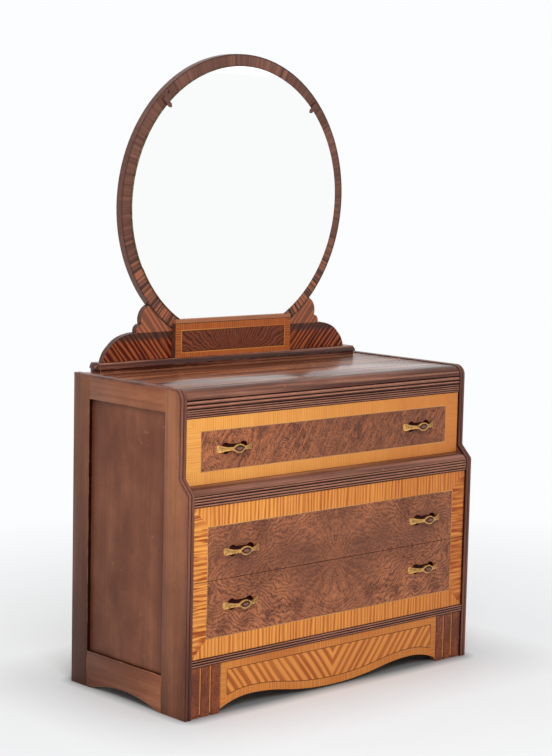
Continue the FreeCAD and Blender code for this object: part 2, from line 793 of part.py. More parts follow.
def lens(x, z, long, high):
    """A pointed oval."""
    radius = arc_radius(long, high / 2)
    return [(x - long / 2, z), (x + long / 2, z, radius), (x - long / 2, z, radius)]


def bow_section(x, inner, outer):
    """Plan of a bow between two distances from its outer arc's centre."""
    reach = size("handle_reach")
    centre = arc_radius(size("handle_long"), reach) - reach
    outer_foot = root(outer * outer - centre * centre)
    inner_foot = root(inner * inner - centre * centre)
    return [
        (x - outer_foot, ZERO),
        (x + outer_foot, ZERO, outer),
        (x + inner_foot, ZERO),
        (x - inner_foot, ZERO, -inner),
    ]


def handle_front(x, z):
    """Front view of a handle: fans at the ends, an eye in the middle."""
    half, end = size("handle_long") / 2, size("handle_end") / 2
    neck, neck_place, flare = size("handle_neck") / 2, size("handle_neck_place"), size("handle_flare")
    eye = arc_radius(size("eye_long"), size("eye_high") / 2)
    drop = eye - size("eye_high") / 2 + neck
    eye_foot = root(eye * eye - drop * drop)
    return [
        (x - half, z - end),
        (x - neck_place, z - neck, -flare),
        (x - eye_foot, z - neck),
        (x + eye_foot, z - neck, eye),
        (x + neck_place, z - neck),
        (x + half, z - end, -flare),
        (x + half, z + end),
        (x + neck_place, z + neck, -flare),
        (x + eye_foot, z + neck),
        (x - eye_foot, z + neck, eye),
        (x - neck_place, z + neck),
        (x - half, z + end, -flare),
    ]


def bow(name, x, face, z, inner, outer, high):
    """A bow of full height, standing on the drawer's face."""
    return padded(name, "XY_Plane", bow_section(x, inner, outer), high, (ZERO, face, z - high / 2))


def nut(name, x, face, z):
    """A hexagonal nut on the inside of the drawer front."""
    high = size("nut_high")
    rear = face - size("front_thick") - high
    hexagon = pin(name + "_hexagon", size("nut_wide") / sqrt(3.0), high, x, rear, z, flats=6)
    thread = pin(name + "_thread", size("stud_wide") / 2 + size("nut_play"), high, x, rear, z)
    return cut(name, hexagon, thread)


def handle(name, x, face, z):
    """A cast bow handle with two studs, its insert, its nuts and its bores."""
    reach = size("handle_reach")
    outer = arc_radius(size("handle_long"), reach)
    inner = outer - size("handle_thick")
    front_view = padded(name + "_front", "XZ_Plane", handle_front(x, z), reach, (ZERO, face, ZERO))
    strap = common(name, bow(name + "_bow", x, face, z, inner, outer, size("handle_end")), front_view)
    behind = size("front_thick") + size("nut_high") + size("stud_end")
    stud_x = [(tag, x + size("stud_offset") * side) for tag, side in SIDES]
    stud, stud_long = size("stud_wide") / 2, behind + size("stud_root")
    studs = [pin("%s_stud_%s" % (name, tag), stud, stud_long, at, face - behind, z) for tag, at in stud_x]
    deep = size("front_thick")
    holes = [pin("%s_bore_%s" % (name, tag), stud + size("stud_play"), deep, at, face - deep, z)
             for tag, at in stud_x]
    nuts = [nut("%s_nut_%s" % (name, tag), at, face, z) for tag, at in stud_x]

    high, proud = size("insert_high"), size("insert_proud")
    seat_inner = outer - size("insert_sunk")
    depth = reach + proud
    seat = common(
        name + "_seat",
        bow(name + "_seat_bow", x, face, z, seat_inner, outer + proud, high),
        padded(name + "_seat_front", "XZ_Plane", lens(x, z, size("insert_long"), high), depth, (ZERO, face, ZERO)))
    play = size("insert_play")
    insert_front = lens(x, z, size("insert_long") - 2 * play, high - 2 * play)
    insert = common(
        name + "_insert",
        bow(name + "_insert_bow", x, face, z, seat_inner, outer + proud, high),
        padded(name + "_insert_front", "XZ_Plane", insert_front, depth, (ZERO, face, ZERO)))

    casting = cut(name, fuse(name, strap, *studs), seat)
    return casting, insert, nuts, holes


def drawer(tag, face, floor, ceiling, headroom, handle_z):
    """One drawer: dovetailed box, veneered front, two handles."""
    outer = half_opening - size("drawer_play")
    inner = outer - size("drawer_side")
    rear = size("drawer_short")
    shoulder = face - size("front_thick")
    side_z = (floor + size("slide_gap"), ceiling - headroom)
    bottom_z = side_z[0] + size("drawer_bottom_high")
    bottom_top = bottom_z + size("drawer_bottom_thick")
    groove = size("drawer_groove")

    across = (-inner - groove, inner + groove)
    bottom = board(tag + "_bottom", across, (rear, shoulder + groove), (bottom_z, bottom_top))
    keep(tag + "_bottom", bottom)

    housed = inner + size("back_housing")
    back_u = (rear + size("back_inset"), rear + size("back_inset") + size("drawer_side"))
    back = board(tag + "_back", (-housed, housed), back_u, (bottom_top, side_z[1]))
    keep(tag + "_back", back)

    sides = []
    for label, side in SIDES:
        name = "%s_%s_side" % (tag, label)
        blank = tailed_side(name, span(side, inner, outer)[0], rear, shoulder, side_z)
        sides.append(blank)
        keep(name, cut(name, blank, bottom, back))

    castings, inserts, nuts, holes = [], [], [], []
    for label, side in SIDES:
        name = "%s_%s_handle" % (tag, label)
        made = handle(name, size("handle_offset") * side, face, handle_z)
        castings.append(made[0])
        inserts.append(made[1])
        nuts += made[2]
        holes += made[3]
    keep(tag + "_handles", group(tag + "_handles", *castings))
    keep(tag + "_inserts", group(tag + "_inserts", *inserts))
    keep(tag + "_nuts", group(tag + "_nuts", *nuts))

    gap = size("front_gap")
    way = [(-outer, floor + gap), (outer, floor + gap), (outer, ceiling - gap), (-outer, ceiling - gap)]
    front = padded(tag + "_front", "XZ_Plane", way, size("front_thick"), (ZERO, face, ZERO), backward=True)
    for label, side in SIDES:
        recess = draw(front, "XZ_Plane", "%s_%s_recess" % (tag, label),
                      recess_way(size("handle_offset") * side, handle_z))
        pocket = front.newObject("PartDesign::Pocket", "%s_%s_pocket" % (tag, label))
        pocket.Profile = recess
        bind(pocket, "Length", size("recess_deep"))
    keep(tag + "_front", cut(tag + "_front", front, *sides, bottom, *holes))


# --------------------------------------------------------------------- mirror

LEAN = "90 deg + atan(Sizes.mirror_lean)"


def on_axis(forward):
    """Depth and height of a point on the disc's axis, ahead of its face."""
    return size("mirror_forward") + forward * lean_cos, mirror_middle - forward * lean_sin


def disc_back(z):
    """Depth of the disc's back at a height."""
    return size("mirror_forward") - size("disc_thick") / lean_cos + (z - mirror_middle) * lean


def disc(name, radius, rear, thick):
    """A round plate square to the mirror's leaning axis."""
    cylinder = doc.addObject("Part::Cylinder", name + "_plate")
    bind(cylinder, "Radius", radius)
    return aimed(cylinder, thick, ZERO, *on_axis(rear), LEAN)


def mirror_disc(bores):
    """The veneered disc, bored for its screws, and the glass on it."""
    blank = disc("mirror_disc", size("disc_radius"), -size("disc_thick"), size("disc_thick"))
    keep("mirror_board", cut("mirror_board", blank, *bores))
    blank = disc("mirror_glass", glass_radius, ZERO, size("glass_thick"))
    doc.recompute()
    glass = doc.addObject("Part::Chamfer", "mirror_glass_bevel")
    glass.Base = blank
    front_rim = max(range(len(blank.Shape.Edges)), key=lambda index: rim_forward(blank.Shape.Edges[index]))
    bevel = size("glass_bevel").value
    glass.Edges = [(front_rim + 1, bevel, bevel)]
    keep("mirror_glass", glass)


def rim_forward(edge):
    """How far forward a closed round edge lies."""
    return -edge.CenterOfMass.y if edge.isClosed() else -1e9


def leaned(body, u, z):
    """Lean a body forward as the disc leans, about its own origin."""
    body.Placement = FreeCAD.Placement(Vector(), FreeCAD.Rotation(Vector(1, 0, 0), 1))
    body.setExpression("Placement.Rotation.Angle", "atan(Sizes.mirror_lean)")
    return place(body, ZERO, u, z)


def clip(name, angle, up):
    """A bent metal clip: a foot beside the glass and a strip over its edge."""
    cosine = Size(cos(radians(angle.value)), "cos(%s * 1 deg)" % angle.formula)
    sine = root(1 - cosine * cosine)
    sine = sine if up > 0 else -sine
    body = doc.addObject("PartDesign::Body", name + "_body")
    half = size("clip_wide") / 2
    foot_inner_end = glass_radius + size("clip_play")
    clip_end = glass_radius + size("clip_out")
    layers = (
        ("foot", foot_inner_end, ZERO, size("glass_thick") + size("clip_play")),
        ("strip", glass_radius - size("clip_over"), size("glass_thick") + size("clip_play"), size("clip_thick")),
    )
    for label, inner, start, thick in layers:
        ends = ((inner, -half), (clip_end, -half), (clip_end, half), (inner, half))
        way = [(cosine * out - sine * along, sine * out + cosine * along) for out, along in ends]
        sketch = draw(body, "XZ_Plane", "%s_%s_outline" % (name, label), way)
        bind(sketch, "AttachmentOffset.Base.z", start)
        pad = body.newObject("PartDesign::Pad", "%s_%s" % (name, label))
        pad.Profile = sketch
        bind(pad, "Length", thick)
    return leaned(body, *on_axis(ZERO))


def mirror_clips():
    """Two clips in view at the top and two behind the centre box."""
    upper, lower = size("clip_angle"), size("clip_low_angle")
    clips = [
        clip("clip_upper_right", upper, 1),
        clip("clip_upper_left", 180 - upper, 1),
        clip("clip_lower_right", lower, -1),
        clip("clip_lower_left", 180 - lower, -1),
    ]
    keep("mirror_clips", group("mirror_clips", *clips))


def mirror_base_rail():
    """The moulded rail under the mirror, its ovolo returned at both ends."""
    recess, high = size("rail_recess"), size("rail_recess_high")
    half, deep, inward = size("rail_width") / 2, size("rail_depth"), size("rail_ovolo_in")
    ledge = top_surface + high
    rise = size("rail_ovolo_high")
    curve = (inward * inward + rise * rise) / (2 * inward)
    section = [
        (ZERO, top_surface),
        (deep - recess, top_surface),
        (deep - recess, ledge),
        (deep, ledge),
        (deep - inward, rail_top, curve),
        (ZERO, rail_top),
    ]
    front_view = [
        (recess - half, top_surface),
        (half - recess, top_surface),
        (half - recess, ledge),
        (half, ledge),
        (half - inward, rail_top, curve),
        (inward - half, rail_top),
        (-half, ledge, curve),
        (recess - half, ledge),
    ]
    along = moulding("mirror_base_rail_along", section, half)
    ends = padded("mirror_base_rail_ends", "XZ_Plane", front_view, deep, (ZERO, ZERO, ZERO))
    keep("mirror_base_rail", common("mirror_base_rail", along, ends))


# The scalloped top edge of a wing, from its outer foot inwards: how far in
# from the wing's outer end and how far above the base rail each point lies,
# with the radius of the arc that leads to it.
WING_EDGE = (
    (23.5, 39.5, 66.0),
    (64.0, 65.0, 82.0),
    (104.5, 71.8, 160.0),
    (120.5, 92.8, 17.0),
    (145.0, 142.0, 40.0),
)


def mirror_wing(tag, side, *tools):
    """A scalloped wing beside the disc, which leans as the disc does."""
    outer, inner, below = size("wing_outer"), size("wing_inner"), size("wing_foot_trim")
    way = [(outer * side, -below), (outer * side, ZERO)]
    for inward, up, radius in WING_EDGE:
        way.append(((outer - inward) * side, sized(up), sized(radius * side)))
    way += [(inner * side, sized(WING_EDGE[-1][1])), (inner * side, -below)]
    rear = size("wing_forward") - size("wing_thick")
    blank = padded(tag + "_wing", "XZ_Plane", way, size("wing_thick"), (ZERO, rear, rail_top))
    keep(tag + "_wing", cut(tag + "_wing", leaned(blank, rear, rail_top), *tools))


def centre_box(*tools):
    """The shallow box in front of the disc's foot."""
    half, front, cheek = size("box_width") / 2, size("box_forward"), size("box_cheek")
    front_rear = front - size("box_front")
    z = (rail_top, rail_top + size("box_height"))
    pieces = [board("box_front", (-half, half), (front_rear, front), z)]
    pieces += [board("box_cheek_" + tag, span(side, half - cheek, half), (size("wing_forward"), front_rear), z)
               for tag, side in SIDES]
    keep("centre_box", cut("centre_box", fuse("centre_box", *pieces), *tools))


def post_way():
    """Side view of a post: upright behind the case, leaning behind the disc."""
    thick, foot, head = size("post_thick"), top_surface - size("post_below"), mirror_middle + size("post_above")
    bend = mirror_middle - size("disc_radius")
    return [
        (-thick, foot),
        (ZERO, foot),
        (ZERO, rail_top),
        (disc_back(bend), bend),
        (disc_back(head), head),
        (disc_back(head) - thick, head),
        (disc_back(bend) - thick, bend),
        (-thick, rail_top),
    ]


def screw_places():
    """Each screw's x, depth of the post's rear, height, and whether it leans."""
    low_z = top_surface - size("top_thick") / 2
    places = []
    for tag, side in SIDES:
        x = size("post_offset") * side
        places.append(("top_screw_" + tag, x, -size("post_thick"), low_z, False))
        heights = (("low", mirror_middle - size("screw_below")), ("high", mirror_middle + size("screw_above")))
        for label, z in heights:
            places.append(("disc_screw_%s_%s" % (label, tag), x, disc_back(z) - size("post_thick"), z, True))
    return places


def screw(name, x, u, z, leans):
    """A screw through the post, its head proud behind it."""
    tilt = LEAN if leans else "90 deg"
    head_high = size("screw_head_high")
    rear = u - head_high / lean_cos
    long = head_high + size("post_thick") + size("screw_grip")
    head = pin(name + "_head", size("screw_head") / 2, head_high, x, rear, z, tilt)
    shank = pin(name + "_shank", size("screw_wide") / 2, long, x, rear, z, tilt)
    return fuse(name, head, shank)


def screw_bore(name, x, u, z, leans):
    """The bore for that screw."""
    tilt = LEAN if leans else "90 deg"
    radius = size("screw_wide") / 2 + size("screw_play")
    head_high = size("screw_head_high")
    long = head_high + size("post_thick") + size("screw_grip") + size("screw_play")
    return pin(name + "_bore", radius, long, x, u - head_high / lean_cos, z, tilt)


def mirror_posts(bores):
    """Two posts that carry the disc behind the case."""
    posts = []
    for tag, side in SIDES:
        half = size("post_width") / 2
        x = span(side, size("post_offset") - half, size("post_offset") + half)[0]
        post = padded(tag + "_post", "YZ_Plane", side_view(post_way()), size("post_width"), (x, ZERO, ZERO))
        posts.append(cut(tag + "_post", post, *[bores[name] for name in bores if name.endswith(tag)]))
    keep("mirror_posts", group("mirror_posts", *posts))
    keep("mirror_screws", group("mirror_screws", *[screw(*spot) for spot in screw_places()]))


# ---------------------------------------------------------------------- whole

bores = {spot[0]: screw_bore(*spot) for spot in screw_places()}
top_bores = [bores[name] for name in bores if name.startswith("top_screw")]
disc_bores = [bores[name] for name in bores if name.startswith("disc_screw")]

carcass_boards(top_bores)
for tag, side in SIDES:
    side_frame(tag, side)
    foot_blocks(tag, side)
top_moulding()
step_moulding()
base_moulding()
apron()

room = size("drawer_headroom")
joint = middle_floor
drawer("top_drawer", upper_face, top_floor, top_ceiling, room, top_floor + size("handle_top_high"))
drawer("middle_drawer", lower_face, middle_floor, step_foot, room, joint + size("handle_joint"))
drawer("bottom_drawer", lower_face, bottom_floor, middle_floor,
       size("runner_height") + size("bottom_headroom"), joint - size("handle_joint"))

mirror_disc(disc_bores)
mirror_clips()
mirror_base_rail()
play, reach = size("disc_play"), size("cutter_reach")
clearance = disc("disc_clearance", size("disc_radius") + play, -reach, 2 * reach)
trim_ends = (-size("wing_outer"), size("wing_outer"))
trim = board("wing_foot_trim", trim_ends, (-reach, reach), (rail_top - reach, rail_top))
for tag, side in SIDES:
    mirror_wing(tag, side, clearance, trim)
seat = disc("disc_seat", size("disc_radius") + play, -reach, reach + play)
centre_box(seat, nodes["left_wing"], nodes["right_wing"])
mirror_posts(bores)

doc.recompute()

for obj in doc.Objects:
    if "Invalid" in obj.State or "Error" in obj.State:
        raise RuntimeError("%s is %s" % (obj.Label, obj.State))
for name, obj in nodes.items():
    if obj.Shape.isNull() or not obj.Shape.isValid():
        raise RuntimeError("%s has no valid shape" % name)

os.makedirs("parts", exist_ok=True)
for name, obj in nodes.items():
    obj.Shape.exportStep("parts/%s.step" % name)

whole = FreeCAD.BoundBox()
for obj in nodes.values():
    whole.add(obj.Shape.BoundBox)
print("%d sub-parts, %.1f x %.1f x %.1f mm" % (len(nodes), whole.XLength, whole.YLength, whole.ZLength))
print("y from %.2f to %.2f, z from %.2f to %.2f" % (whole.YMin, whole.YMax, whole.ZMin, whole.ZMax))
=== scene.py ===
"""Veneer, brass and glass for a dressing chest with a round mirror.

The chest's boards, drawers and mirror come from its solid model. This file
gives each of them its finish, cuts the veneers into the fronts and models the
small parts in detail. It is laid out as an add-on and is run as a script.
"""

import json
from itertools import product
from math import atan, cos, pi, radians, sin

import bpy
from mathutils import Matrix, Vector

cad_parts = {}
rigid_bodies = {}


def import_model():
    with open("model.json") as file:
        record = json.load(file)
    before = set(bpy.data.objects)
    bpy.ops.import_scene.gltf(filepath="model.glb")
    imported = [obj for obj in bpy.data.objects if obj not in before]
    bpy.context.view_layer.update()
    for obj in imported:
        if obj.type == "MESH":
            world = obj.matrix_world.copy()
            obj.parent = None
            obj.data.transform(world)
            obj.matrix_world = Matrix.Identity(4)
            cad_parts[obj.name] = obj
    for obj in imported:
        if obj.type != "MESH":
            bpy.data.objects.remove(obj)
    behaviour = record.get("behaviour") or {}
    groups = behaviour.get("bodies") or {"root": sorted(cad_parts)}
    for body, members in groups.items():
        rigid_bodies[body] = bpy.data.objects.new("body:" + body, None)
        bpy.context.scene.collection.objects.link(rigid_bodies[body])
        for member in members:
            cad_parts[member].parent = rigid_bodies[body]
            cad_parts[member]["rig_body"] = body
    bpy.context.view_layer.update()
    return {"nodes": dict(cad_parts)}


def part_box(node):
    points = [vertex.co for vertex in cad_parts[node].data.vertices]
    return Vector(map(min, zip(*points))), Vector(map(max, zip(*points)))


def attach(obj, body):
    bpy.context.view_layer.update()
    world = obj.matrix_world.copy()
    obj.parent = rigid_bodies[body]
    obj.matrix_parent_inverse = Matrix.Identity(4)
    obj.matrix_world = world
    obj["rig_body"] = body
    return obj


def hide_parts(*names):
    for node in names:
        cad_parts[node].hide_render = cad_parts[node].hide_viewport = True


bl_info = {
    "name": "Dressing Chest",
    "version": (1, 0, 0),
    "blender": (4, 5, 0),
    "location": "View3D > Sidebar > Dressing Chest",
    "description": "Finishes a veneered dressing chest with a round mirror",
    "category": "Object",
}

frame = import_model()
NODES = frame["nodes"]
SIDES = ("left", "right")
DRAWERS = ("top", "middle", "bottom")


def tint(red, green, blue):
    """A screen colour, 0 to 255, as the linear one that shaders use."""
    shades = [value / 255 for value in (red, green, blue)]
    return tuple(v / 12.92 if v <= 0.04045 else ((v + 0.055) / 1.055) ** 2.4 for v in shades)


def toned(tone, *shares):
    """A colour times one share, or times one for each of its parts."""
    return tuple(value * share for value, share in zip(tone, shares * 3 if len(shares) == 1 else shares))


def between(one, other):
    """The colour halfway between two."""
    return tuple((a + b) / 2 for a, b in zip(one, other))


def colour(name, note, red, green, blue):
    """A colour setting."""
    return bpy.props.FloatVectorProperty(name=name, description=note, subtype="COLOR", size=3, min=0, max=1,
                                         default=tint(red, green, blue))


def length(name, note, metres):
    """A length setting."""
    return bpy.props.FloatProperty(name=name, description=note, unit="LENGTH", min=0, default=metres)


def extent(name, whose, half, low, high):
    """A setting for where a panel ends."""
    return bpy.props.FloatVectorProperty(name=name, unit="LENGTH", size=3, min=0, default=(half, low, high),
                                         description="Half length, lower and upper edge of the " + whose)


def power(name, note, watts):
    """A lamp's power setting."""
    return bpy.props.FloatProperty(name=name, description=note, unit="POWER", min=0, default=watts)


class ChestColours(bpy.types.PropertyGroup):
    """Colours of the chest's woods and fittings."""

    side_light: colour("Side light", "Light streaks of the side frames", 176, 114, 80)
    side_mid: colour("Side", "Main tone of the side frames", 142, 86, 60)
    side_dark: colour("Side dark", "Dark streaks of the side frames", 96, 52, 36)
    top_light: colour("Top light", "Light streaks of the top", 204, 136, 98)
    top_mid: colour("Top", "Main tone of the top", 142, 82, 54)
    top_dark: colour("Top dark", "Dark streaks of the top", 64, 26, 14)
    moulding_light: colour("Moulding light", "Light grain of the mouldings", 160, 107, 85)
    moulding_dark: colour("Moulding dark", "Dark grain of the mouldings", 74, 34, 22)
    # Painted shade: this colour darkens the valleys between the reeds, the side frames' edges round their
    # panels and the drawer fronts' ends and edges.
    groove: colour("Groove", "Old polish between the reeds", 34, 12, 6)
    satin_light: colour("Satinwood light", "Light grain of the top drawer's border", 240, 172, 86)
    satin_dark: colour("Satinwood dark", "Dark grain of the top drawer's border", 190, 106, 48)
    stripe_light: colour("Stripe light", "Ground of the striped borders", 247, 168, 80)
    stripe_dark: colour("Stripe dark", "Stripes of the striped borders", 168, 84, 34)
    burr_light: colour("Burr light", "Light figure of the burr panels", 194, 120, 79)
    burr_mid: colour("Burr", "Main tone of the burr panels", 149, 92, 65)
    burr_dark: colour("Burr dark", "Dark figure of the burr panels", 86, 47, 34)
    string_pale: colour("Pale stringing", "Lines around the drawer panels", 216, 160, 94)
    string_dark: colour("Dark stringing", "Lines around the apron's panel", 84, 52, 22)
    rim_light: colour("Rim light", "Light grain of the mirror's rim", 146, 97, 79)
    rim_dark: colour("Rim dark", "Dark grain of the mirror's rim", 84, 52, 42)
    wing_light: colour("Wing light", "Light stripes of the wings", 184, 96, 52)
    wing_dark: colour("Wing dark", "Dark stripes of the wings", 76, 20, 6)
    box_light: colour("Box light", "Border of the centre box", 190, 106, 52)
    box_dark: colour("Box dark", "Fine lines in the centre box's border", 140, 66, 22)
    box_panel: colour("Box panel", "Burr panel of the centre box", 108, 52, 30)
    # Painted shade: this colour fills the recesses behind the handles.
    recess: colour("Recess", "Stain inside the recesses behind the handles", 66, 18, 12)
    brass_light: colour("Brass", "Rubbed brass of the handles", 206, 158, 92)
    brass_dark: colour("Brass dark", "Tarnish in the handles' hollows", 116, 82, 42)
    insert: colour("Insert", "Mottled inserts of the handles", 122, 72, 56)
    clip: colour("Clip", "Lacquer of the mirror clips", 112, 74, 64)
    raw_light: colour("Raw wood light", "Light grain of the inner boards", 206, 168, 120)
    raw_dark: colour("Raw wood dark", "Dark grain of the inner boards", 160, 118, 76)
    steel: colour("Steel", "Nuts and screws", 170, 168, 160)
    glass: colour("Glass", "Silvered glass", 252, 253, 252)


class ChestSizes(bpy.types.PropertyGroup):
    """Widths of veneers and edges."""

    softening: length("Softening", "Rounding of the boards' edges", 0.0008)
    inner_softening: length("Inner softening", "Rounding of the inner boards' edges", 0.0006)
    stringing: length("Stringing", "Width of the pale lines around the panels", 0.0016)
    top_panel: extent("Top panel", "top drawer's panel", 0.431, 0.595, 0.692)
    low_panel: extent("Lower panel", "lower drawers' panel", 0.432, 0.192, 0.465)
    box_panel: extent("Box panel", "centre box's panel", 0.180, 0.837, 0.890)
    apron_border: length("Apron border", "Width of the apron's border", 0.0195)
    apron_line: length("Apron line", "Width of the apron's dark stringing", 0.0018)
    apron_grid: length("Apron grid", "Mesh of the apron's face, which carries its inlay", 0.0045)
    box_cap: length("Box cap", "Foot of the dark edge on top of the centre box", 0.912)
    handle_rim: length("Handle rim", "Raised edge of the handles' legs", 0.0030)
    handle_round: length("Handle round", "Round of the corners of the handles' ends", 0.0050)
    handle_hollow: length("Handle hollow", "Depth of the hollow in the handles' legs", 0.0010)
    insert_facet: length("Insert facet", "Width of the facets around an insert", 0.0028)


class StageSettings(bpy.types.PropertyGroup):
    """Floor, background and lamps."""

    floor: colour("Floor", "Colour of the floor", 240, 241, 242)
    background: colour("Background", "Colour behind the chest", 252, 253, 254)
    ambient: bpy.props.FloatProperty(name="Ambient", description="Light from all round", default=0.5, min=0)
    key_power: power("Key lamp", "Power of the large lamp", 52)
    fill_power: power("Fill lamp", "Power of the lamp on the right", 16)


SETTINGS = (("chest_colours", ChestColours), ("chest_sizes", ChestSizes), ("chest_stage", StageSettings))

# Finishes

BOOK_JOINT = -0.004  # where the mirrored halves of a book-matched veneer meet
APRON_HALF = 0.384  # half the apron's length between the foot blocks


class Term:
    """What comes out of a node, to be used in sums and products."""

    def __init__(self, nodes, socket):
        self.nodes, self.socket = nodes, socket

    def __add__(self, other):
        return self.nodes.math("ADD", self, other)

    def __sub__(self, other):
        return self.nodes.math("SUBTRACT", self, other)

    def __rsub__(self, other):
        return self.nodes.math("SUBTRACT", other, self)

    def __mul__(self, other):
        return self.nodes.math("MULTIPLY", self, other)

    def __abs__(self):
        return self.nodes.math("ABSOLUTE", self)


class Nodes:
    """A node tree in the making, with short ways to add to it."""

    def __init__(self, tree):
        self.tree = tree

    def feed(self, socket, value):
        """Set a socket, or link it if the value is a term."""
        if isinstance(value, Term):
            self.tree.links.new(value.socket, socket)
        else:
            socket.default_value = (*value, 1.0) if socket.type == "RGBA" else value

    def add(self, kind, inputs, output=0, **settings):
        """A node with these inputs, by number or name; its output."""
        node = self.tree.nodes.new("ShaderNode" + kind)
        for name, value in settings.items():
            setattr(node, name, value)
        for name, value in inputs.items():
            self.feed(node.inputs[name], value)
        return Term(self, node.outputs[output])

    def axes(self, vector):
        """The three parts of a vector."""
        node = self.tree.nodes.new("ShaderNodeSeparateXYZ")
        self.feed(node.inputs[0], vector)
        return [Term(self, part) for part in node.outputs]

    def vector(self, x, y, z):
        """A vector from three parts."""
        return self.add("CombineXYZ", {0: x, 1: y, 2: z})

    def scaled(self, vector, scale):
        """A vector stretched along each axis."""
        return self.add("VectorMath", {0: vector, 1: scale}, operation="MULTIPLY")

    def math(self, operation, *values):
        """The outcome of an operation."""
        return self.add("Math", dict(enumerate(values)), operation=operation)

    def reach(self, across, rise):
        """The distance from the point where both values are 0."""
        return self.math("SQRT", across * across + rise * rise)

    def turned(self, one, other, degrees):
        """Two coordinates, turned by an angle."""
        along, aside = cos(radians(degrees)), sin(radians(degrees))
        return one * along - other * aside, one * aside + other * along

    def noise(self, vector, scale=1.0, detail=3.0, rough=0.5, warp=0.0):
        """Soft noise between 0 and 1."""
        return self.add("TexNoise", {"Vector": vector, "Scale": scale, "Detail": detail, "Roughness": rough,
                                     "Distortion": warp})

    def grain(self, one, other, first, second, seed=0.0, **settings):
        """Noise over two coordinates, each with its own scale."""
        return self.noise(self.vector(one * first, other * second, seed), **settings)

    def wave(self, value, turns):
        """Lines that follow a value's contours, between 0 and 1."""
        return self.span(self.math("SINE", value * turns), -1.0, 1.0)

    def span(self, value, low, high, start=0.0, end=1.0):
        """A value carried from one range to another, held at its ends."""
        return self.add("MapRange", {0: value, 1: low, 2: high, 3: start, 4: end})

    def blend(self, share, under, over, kind="MIX"):
        """A mix of two colours."""
        return self.add("Mix", {0: share, 6: under, 7: over}, output=2, data_type="RGBA", blend_type=kind)

    def veil(self, under, over, value, low, high, start=0.0, end=1.0):
        """A colour laid over another, from share start to share end as a value goes from low to high."""
        return self.blend(self.span(value, low, high, start, end), under, over)

    def ramp(self, value, *stops):
        """Colours at places between 0 and 1."""
        node = self.tree.nodes.new("ShaderNodeValToRGB")
        self.feed(node.inputs[0], value)
        elements = node.color_ramp.elements
        while len(elements) < len(stops):
            elements.new(0.5)
        for element, (position, tone) in zip(elements, stops):
            element.position = position
            element.color = (*tone, 1.0)
        return Term(self, node.outputs[0])

    def seen(self):
        """1 for what is seen, also in a mirror or through glass, and 0 for the light on things."""
        rays = self.tree.nodes.new("ShaderNodeLightPath").outputs
        camera, glossy, through = (Term(self, rays["Is %s Ray" % kind])
                                   for kind in ("Camera", "Glossy", "Transmission"))
        return self.math("MINIMUM", 1.0, camera + glossy + through)


class Finish(Nodes):
    """A material in the making."""

    def __init__(self, name, roughness=0.35, metallic=0.0, coat=0.0):
        self.material = bpy.data.materials.new(name)
        self.material.use_nodes = True
        super().__init__(self.material.node_tree)
        self.shader = self.tree.nodes["Principled BSDF"]
        for socket, value in (("Roughness", roughness), ("Metallic", metallic), ("Coat Weight", coat),
                              ("Coat Roughness", 0.15), ("Specular IOR Level", 0.14)):
            self.shader.inputs[socket].default_value = value
        self.place = self.add("TexCoord", {}, output="Object")
        self.x, self.y, self.z = self.axes(self.place)

    def done(self, tone, relief=None, depth=0.0002, rough=None):
        """Link colour, relief and gloss, and give the material."""
        self.feed(self.shader.inputs["Base Color"], tone)
        if relief is not None:
            bump = self.add("Bump", {"Height": relief, "Distance": depth, "Strength": 0.6})
            self.feed(self.shader.inputs["Normal"], bump)
        if rough is not None:
            self.feed(self.shader.inputs["Roughness"], rough)
        return self.material


def solid_wood(name, along, light, mid, dark, roughness=0.34, figure=14.0, cloud=0.45, wear=0.5, coat=0.1,
               spread=0.14, fine_share=0.38, darker_low_and_back=False):
    """Straight-grained wood with streaks, pores and uneven stain; if asked, darker towards the bottom and
    towards the back.
    """
    f = Finish(name, roughness, coat=coat)
    way = f.vector(*{"X": (f.x, f.y, f.z), "Y": (f.y, f.x, f.z), "Z": (f.z, f.x, f.y)}[along])
    broad = f.noise(f.scaled(way, (0.9, figure, figure)), detail=4, warp=0.35)
    fine = f.noise(f.scaled(way, (2.5, 120.0, 120.0)), rough=0.6)
    pores = f.noise(f.scaled(way, (30.0, 900.0, 900.0)), detail=2)
    stain = f.noise(f.scaled(way, (0.7, 1.0, 1.0)), 5.0, detail=4, rough=0.6)
    tone = broad * (1.0 - fine_share) + fine * fine_share
    tone = f.ramp(tone, (0.5 - spread, dark), (0.5, mid), (0.5 + spread, light))
    tone = f.veil(tone, dark, stain, 0.40, 0.68, 0.0, cloud)
    mark = f.span(pores, 0.60, 0.72, 0.0, 0.5)
    tone = f.blend(mark, tone, dark)
    tone = f.veil(tone, light, f.noise(f.place, 46.0, detail=4, rough=0.65), 0.66, 0.74, 0.0, wear)
    if darker_low_and_back:
        # darker towards the bottom and towards the back of the chest
        low_back_darkening = f.span(f.z, 0.05, 0.80, 0.84, 1.12) * f.span(f.y, -0.15, 0.24, 1.0, 0.72)
        tone = f.blend(1.0, tone, f.vector(low_back_darkening, low_back_darkening, low_back_darkening), "MULTIPLY")
    rough = f.span(stain, 0.3, 0.7, roughness - 0.06, roughness + 0.1)
    return f.done(tone, fine * 0.7 + mark * -0.6, 0.00015, rough)


